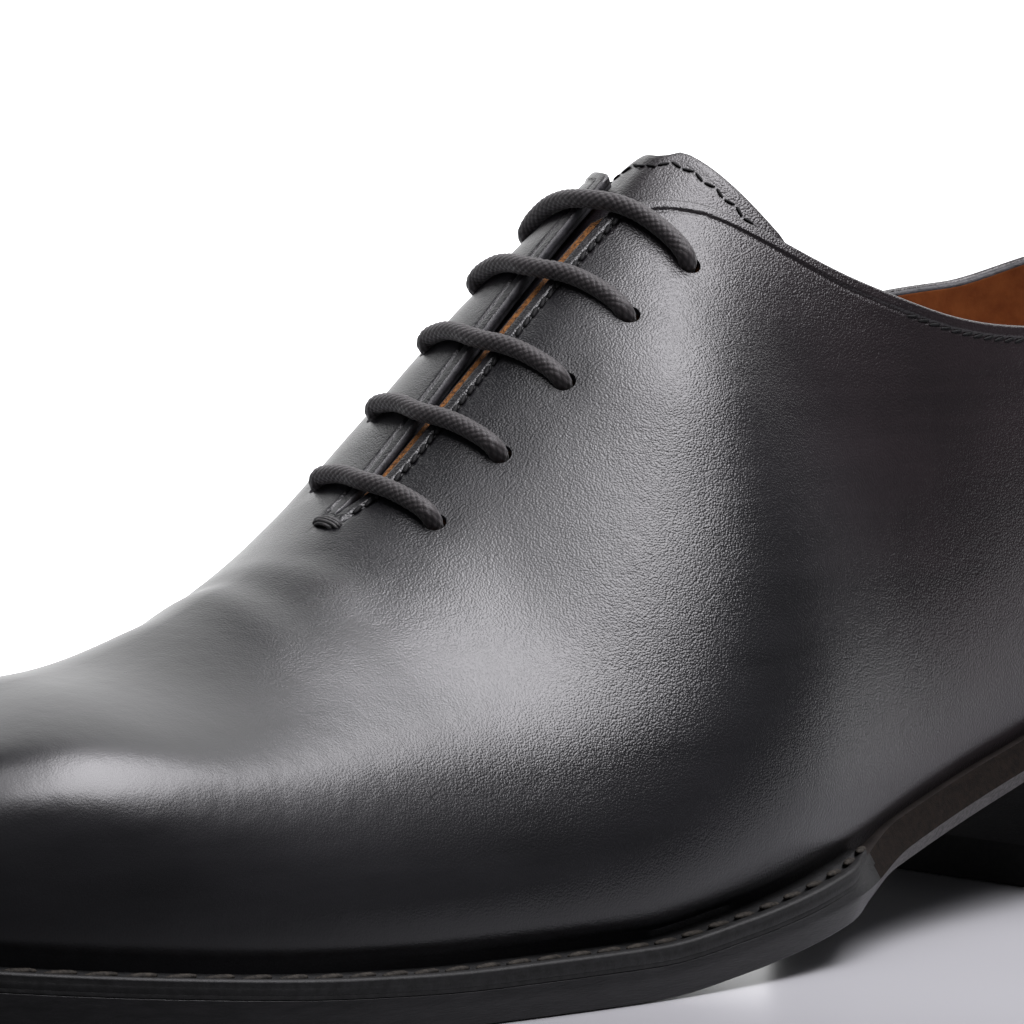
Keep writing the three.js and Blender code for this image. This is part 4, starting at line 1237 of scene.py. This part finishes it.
def plate(rings, slots_side, slot_top, slot_bottom, across=16):
    """A plate between rings, closed by strips across the foot."""
    size = len(rings[0])
    count = size // 2
    points = list(rings)
    faces, slots = [], []
    for k in range(len(rings) - 1):
        for i in range(size):
            j = (i + 1) % size
            faces.append((k * size + i, k * size + j, (k + 1) * size + j, (k + 1) * size + i))
            slots.append(slots_side[k])
    start = len(rings) * size
    for cap, flip, slot in ((0, False, slot_top), (len(rings) - 1, True, slot_bottom)):
        base = rings[cap]
        index = np.zeros((count, across + 1), int)
        index[:, 0] = cap * size + np.arange(count)
        index[:, -1] = cap * size + size - 1 - np.arange(count)
        for k in range(1, across):
            t = k / across
            row = base[:count] * (1 - t) + base[size - 1 - np.arange(count)] * t
            index[:, k] = start + np.arange(count)
            start += count
            points.append(row)
        for i in range(count - 1):
            for k in range(across):
                quad = (index[i, k], index[i, k + 1], index[i + 1, k + 1], index[i + 1, k])
                faces.append(quad[::-1] if flip else quad)
                slots.append(slot)
    return weld(np.concatenate(points), faces) + (slots,)


def between(first, second, share):
    """A line of the sole's edge between two others, each as its reach out and its depth at a station."""
    return tuple(lambda s, a=a, b=b: a(s) * (1 - share) + b(s) * share for a, b in zip(first, second))


def make_outsole():
    sections = section_steps(8)
    top = (lambda s: edge_out("out", s), lambda s: sole_top(s) + SOLE_CHAMFER)
    crest = (lambda s: edge_out("crest", s), sole_crest)
    under = (lambda s: edge_out("under", s), lambda s: sole_base(s) - SOLE_CHAMFER)
    lines = [(lambda s: edge_out("out", s) - SOLE_CHAMFER, sole_top)]
    lines += [between(top, crest, k / SOLE_EDGE_STEPS) for k in range(SOLE_EDGE_STEPS + 1)]
    lines += [between(crest, under, k / SOLE_EDGE_STEPS) for k in range(1, SOLE_EDGE_STEPS + 1)]
    lines.append((lambda s: edge_out("under", s) - SOLE_CHAMFER, sole_base))
    rings = [ring(sections, out, depth) for out, depth in lines]
    points, faces, source, slots = plate(rings, [0] * (len(lines) - 1), 2, 2)
    slots = np.array(slots)[source]
    centres = np.array([points[list(face)].mean(0) for face in faces])
    s = station_of(centres)
    ring_faces = np.array(source) // len(rings[0])
    on_side = slots == 0
    waist = on_side & (s < WAIST_FINISH_END)
    slots[waist & (ring_faces <= SOLE_EDGE_STEPS)] = 1
    slots[waist & (ring_faces > SOLE_EDGE_STEPS)] = 3
    finishes = [SOLE_EDGE, SOLE_WAIST, SOLE_BOTTOM, SOLE_RIM]
    sole = mesh_object("outsole", points, faces, finishes, slots, sharp=28)
    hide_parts("outsole")


def make_welt():
    welt_section = float(section_where(station, np.array(WELT_END)))
    sections = section_steps(10)
    half = np.append(sections[sections < welt_section - 0.02], welt_section)
    u = np.concatenate([medial(half[1:])[::-1], lateral(half)])
    s = LAST_LENGTH * station(u)
    thick = WELT_THICKNESS * np.maximum(dip(s), 0.3)
    width = edge_out("out", s)
    # How far out, how far down, and whether that is a share of the thickness
    profile = [
        (-WELT_SEAT, 0.0, 0), (-1.0, 0.0, 0), (0.8, 0.0, 0), (1.6, 0.05, 0), (2.2, 0.32, 0), (2.8, 0.32, 0),
        (3.4, 0.05, 0), (4.4, 0.02, 0), (4.75, 0.10, 0), (5.0, 0.35, 0), (5.02, 0.5, 0),
        (4.92, 0.42, 1), (5.02, 0.50, 1), (5.02, 0.80, 1), (4.93, 0.88, 1), (5.0, 0.95, 1), (5.0, 1.11, 1),
        (-WELT_SEAT, 1.11, 1),
    ]
    rows = []
    for out, depth, share in profile:
        place_out = np.where(out < 0, out, out * width / EDGE_WIDTH)
        down = GAP + (thick * depth if share else np.minimum(depth, 0.4 * thick))
        p = feather(u, place_out)
        p[..., 2] -= down
        rows.append(p)
    grid = np.stack(rows, 1)
    columns, count = grid.shape[:2]
    faces = grid_faces(columns, count, False)
    faces += [(i * count + count - 1, i * count, (i + 1) * count, (i + 1) * count + count - 1)
              for i in range(columns - 1)]
    faces.append(tuple(range(count)))
    faces.append(tuple(range((columns - 1) * count + count - 1, (columns - 1) * count - 1, -1)))
    welt = mesh_object("welt", grid.reshape(-1, 3), [f[::-1] for f in faces], [WELT_LEATHER], sharp=40)
    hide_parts("welt")
    line = feather(u, 2.5 * width / EDGE_WIDTH)
    line[..., 2] -= GAP + 0.1
    run = even(line, WELT_STITCH_PITCH)
    up = np.tile(np.array([0.0, 0.0, 1.0]), (len(run), 1))
    directions = unit(np.gradient(run, axis=0))
    side = np.cross(up, directions)
    points, faces = stitches(run, directions + side * 0.13, up, WELT_STITCH_PITCH * 0.90, 1.35, 0.95)
    mesh_object("welt_stitches", points, faces, [WELT_THREAD])


def make_insole():
    sections = section_steps(6)
    lines = [
        (lambda s: np.full(s.shape, -(WALL + GAP + 0.3)), lambda s: np.full(s.shape, -INSOLE_RIM)),
        (lambda s: np.full(s.shape, -(WALL + GAP)), lambda s: np.full(s.shape, -INSOLE_RIM + 0.3)),
        (lambda s: np.full(s.shape, -(WALL + GAP)), lambda s: np.zeros(s.shape)),
        (lambda s: np.full(s.shape, -(WELT_SEAT + GAP)), lambda s: np.zeros(s.shape)),
        (lambda s: np.full(s.shape, -(WELT_SEAT + GAP)), lambda s: sole_top(s) - GAP),
    ]
    rings = [ring(sections, out, depth) for out, depth in lines]
    points, faces, _, _ = plate(rings, [0, 0, 0, 0], 0, 0)
    insole = mesh_object("insole", points, faces, [SOCK], sharp=40)
    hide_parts("insole")


def heel_out(z, s):
    return edge_out("under", s) - HEEL_TAPER * (1 - z / HEEL_HEIGHT)


def heel_layer(name, low, high, material):
    """One lift between two heights, with softened rims. Without an upper height it meets the sole."""
    breast = float(section_where(station, np.array(HEEL_BREAST)))
    sections = np.linspace(breast, LAST_ROW, 90)
    u = np.concatenate([lateral(sections), medial(sections)[::-1]])
    rings = []
    for at_top, inset, drop_by in ((True, HEEL_RIM, 0), (True, 0, HEEL_RIM), (False, 0, -HEEL_RIM),
                                   (False, HEEL_RIM, 0)):
        level = (HEEL_HEIGHT if at_top else low) if high is None else (low + high) / 2
        p = feather(u, heel_out(level, LAST_LENGTH * station(u)) - inset)
        s = station_of(p)
        top = feather_height(s) - sole_base(s) - 0.5 * GAP if high is None else high
        p[..., 2] = (top if at_top else low) - drop_by
        rings.append(p)
    points, faces, _, _ = plate(rings, [0, 0, 0], 0, 0, across=8)
    lift = mesh_object(name, points, faces, [material], sharp=25)
    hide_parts(name)


def make_heel():
    heel_layer("top_piece", 0, TOP_PIECE_THICKNESS, RUBBER)
    for i in range(LIFT_COUNT):
        low = TOP_PIECE_THICKNESS + LIFT_THICKNESS * i
        high = low + LIFT_THICKNESS if i < LIFT_COUNT - 1 else None
        heel_layer(f"heel_lift_{LIFT_COUNT - i}", low, high, HEEL_EDGE)


# Camera, light and floor
CAMERA_AZIMUTH = math.radians(42.430)
CAMERA_ELEVATION = math.radians(6.809)
CAMERA_ROLL = math.radians(0.847)
CAMERA_DISTANCE = 1481.4
CAMERA_TARGET = Vector((-1.355, -118.615, 59.290)) * MM
FOCAL_PIXELS = 10620.26
FRAME_PIXELS = 1024
SENSOR_WIDTH = 36
LIGHT_AIM = Vector((0, -120, 50)) * MM
BEHIND_SHOE = (-0.675, 0.738, 0)   # away from the camera
BEFORE_TOE = (0.34, -0.94, 0)
WHITE_FROM_TO = (0.06, 0.17)       # metres from the origin over which the floor fades
# painted shade on the floor: metres along the direction before the toe over which its colour darkens
PAINTED_SHADE_FROM_TO = (0.12, 0.30)
FLOOR_PALE = (0.50, 0.50, 0.52)
# colour of that painted shade
FLOOR_PAINTED_SHADE = (0.05, 0.05, 0.053)
FLOOR_GLOW = 1.15


def make_camera():
    data = bpy.data.cameras.new("camera")
    data.sensor_fit = "HORIZONTAL"
    data.sensor_width = SENSOR_WIDTH
    data.lens = FOCAL_PIXELS / FRAME_PIXELS * SENSOR_WIDTH
    data.clip_start = 0.05
    data.clip_end = 50
    camera = bpy.data.objects.new("camera", data)
    bpy.context.scene.collection.objects.link(camera)
    back = Vector((math.sin(CAMERA_AZIMUTH) * math.cos(CAMERA_ELEVATION),
                   -math.cos(CAMERA_AZIMUTH) * math.cos(CAMERA_ELEVATION), math.sin(CAMERA_ELEVATION)))
    right = Vector((math.cos(CAMERA_AZIMUTH), math.sin(CAMERA_AZIMUTH), 0))
    up = back.cross(right)
    rolled_right = right * math.cos(CAMERA_ROLL) + up * math.sin(CAMERA_ROLL)
    rolled_up = up * math.cos(CAMERA_ROLL) - right * math.sin(CAMERA_ROLL)
    turn = Matrix((rolled_right, rolled_up, back)).transposed().to_4x4()
    camera.matrix_world = Matrix.Translation(CAMERA_TARGET + back * CAMERA_DISTANCE * MM) @ turn
    bpy.context.scene.camera = camera


def area_light(name, azimuth, elevation, distance, width, height, watts, colour):
    """A soft box seen from the shoe at an azimuth (0 at the toe, 90 on the outer side) and an elevation."""
    a, e = math.radians(azimuth), math.radians(elevation)
    towards = Vector((math.sin(a) * math.cos(e), -math.cos(a) * math.cos(e), math.sin(e)))
    data = bpy.data.lights.new(name, "AREA")
    data.shape = "RECTANGLE"
    data.size = width
    data.size_y = height
    data.energy = watts
    data.color = colour
    light = bpy.data.objects.new(name, data)
    light.location = LIGHT_AIM + towards * distance
    light.rotation_euler = towards.to_track_quat("Z", "Y").to_euler()
    bpy.context.scene.collection.objects.link(light)


def distance_along(nodes, links, where, direction):
    node = nodes.new("ShaderNodeVectorMath")
    node.operation = "DOT_PRODUCT"
    node.inputs[1].default_value = direction
    links.new(where, node.inputs[0])
    return node.outputs["Value"]


def make_floor():
    """A pale floor that fades into white behind the shoe and into painted shade before its toe."""
    material, nodes, links = new_material("pale_floor")
    shader = nodes["Principled BSDF"]
    where = nodes.new("ShaderNodeTexCoord").outputs["Object"]
    # Painted shade: the floor's colour darkens before and beside the toe.
    dark = map_range(nodes, links, distance_along(nodes, links, where, BEFORE_TOE), *PAINTED_SHADE_FROM_TO, 0, 1)
    links.new(ramp(nodes, links, dark, [(0, FLOOR_PALE), (1, FLOOR_PAINTED_SHADE)]), shader.inputs["Base Color"])
    behind = distance_along(nodes, links, where, BEHIND_SHOE)
    white = map_range(nodes, links, behind, *WHITE_FROM_TO, 0, FLOOR_GLOW)
    links.new(white, shader.inputs["Emission Strength"])
    shader.inputs["Emission Color"].default_value = (1, 1, 1, 1)
    shader.inputs["Roughness"].default_value = 0.20
    shader.inputs["Specular IOR Level"].default_value = 0.5
    size = 9.0
    mesh = bpy.data.meshes.new("floor")
    corners = [(-size, -size, 0), (size, -size, 0), (size, size, 0), (-size, size, 0)]
    mesh.from_pydata(corners, [], [(0, 1, 2, 3)])
    mesh.materials.append(material)
    floor = bpy.data.objects.new("floor", mesh)
    floor.location = (0, 0, -0.0002)
    bpy.context.scene.collection.objects.link(floor)


def make_world():
    world = bpy.data.worlds.new("studio")
    world.use_nodes = True
    nodes, links = world.node_tree.nodes, world.node_tree.links
    background = nodes["Background"]
    background.inputs["Color"].default_value = (0.93, 0.94, 1.0, 1)
    background.inputs["Strength"].default_value = 0.15
    bpy.context.scene.world = world


# Soft boxes: name, azimuth and elevation in degrees, distance, width and height in metres, watts and colour
SOFT_VIOLET = (0.98, 0.96, 1.0)
WHITE = (1, 1, 1)
LIGHTS = [
    ("key", 134, 68, 1.45, 1.3, 0.72, 24, SOFT_VIOLET),
    ("over", 80, 80, 1.45, 1.3, 1.1, 15, SOFT_VIOLET),
    ("back", 217, 27, 2.2, 3.0, 2.4, 32, WHITE),
    ("front", 20, 35, 2.2, 1.2, 1.2, 1.5, WHITE),
]


def make_light():
    for row in LIGHTS:
        area_light(*row)


make_camera()
make_world()
make_light()
make_floor()
make_upper()
make_bar_tack()
make_tongue()
make_laces()
make_welt()
make_outsole()
make_insole()
make_heel()
bpy.context.scene.view_settings.view_transform = "Standard"
bpy.context.view_layer.update()
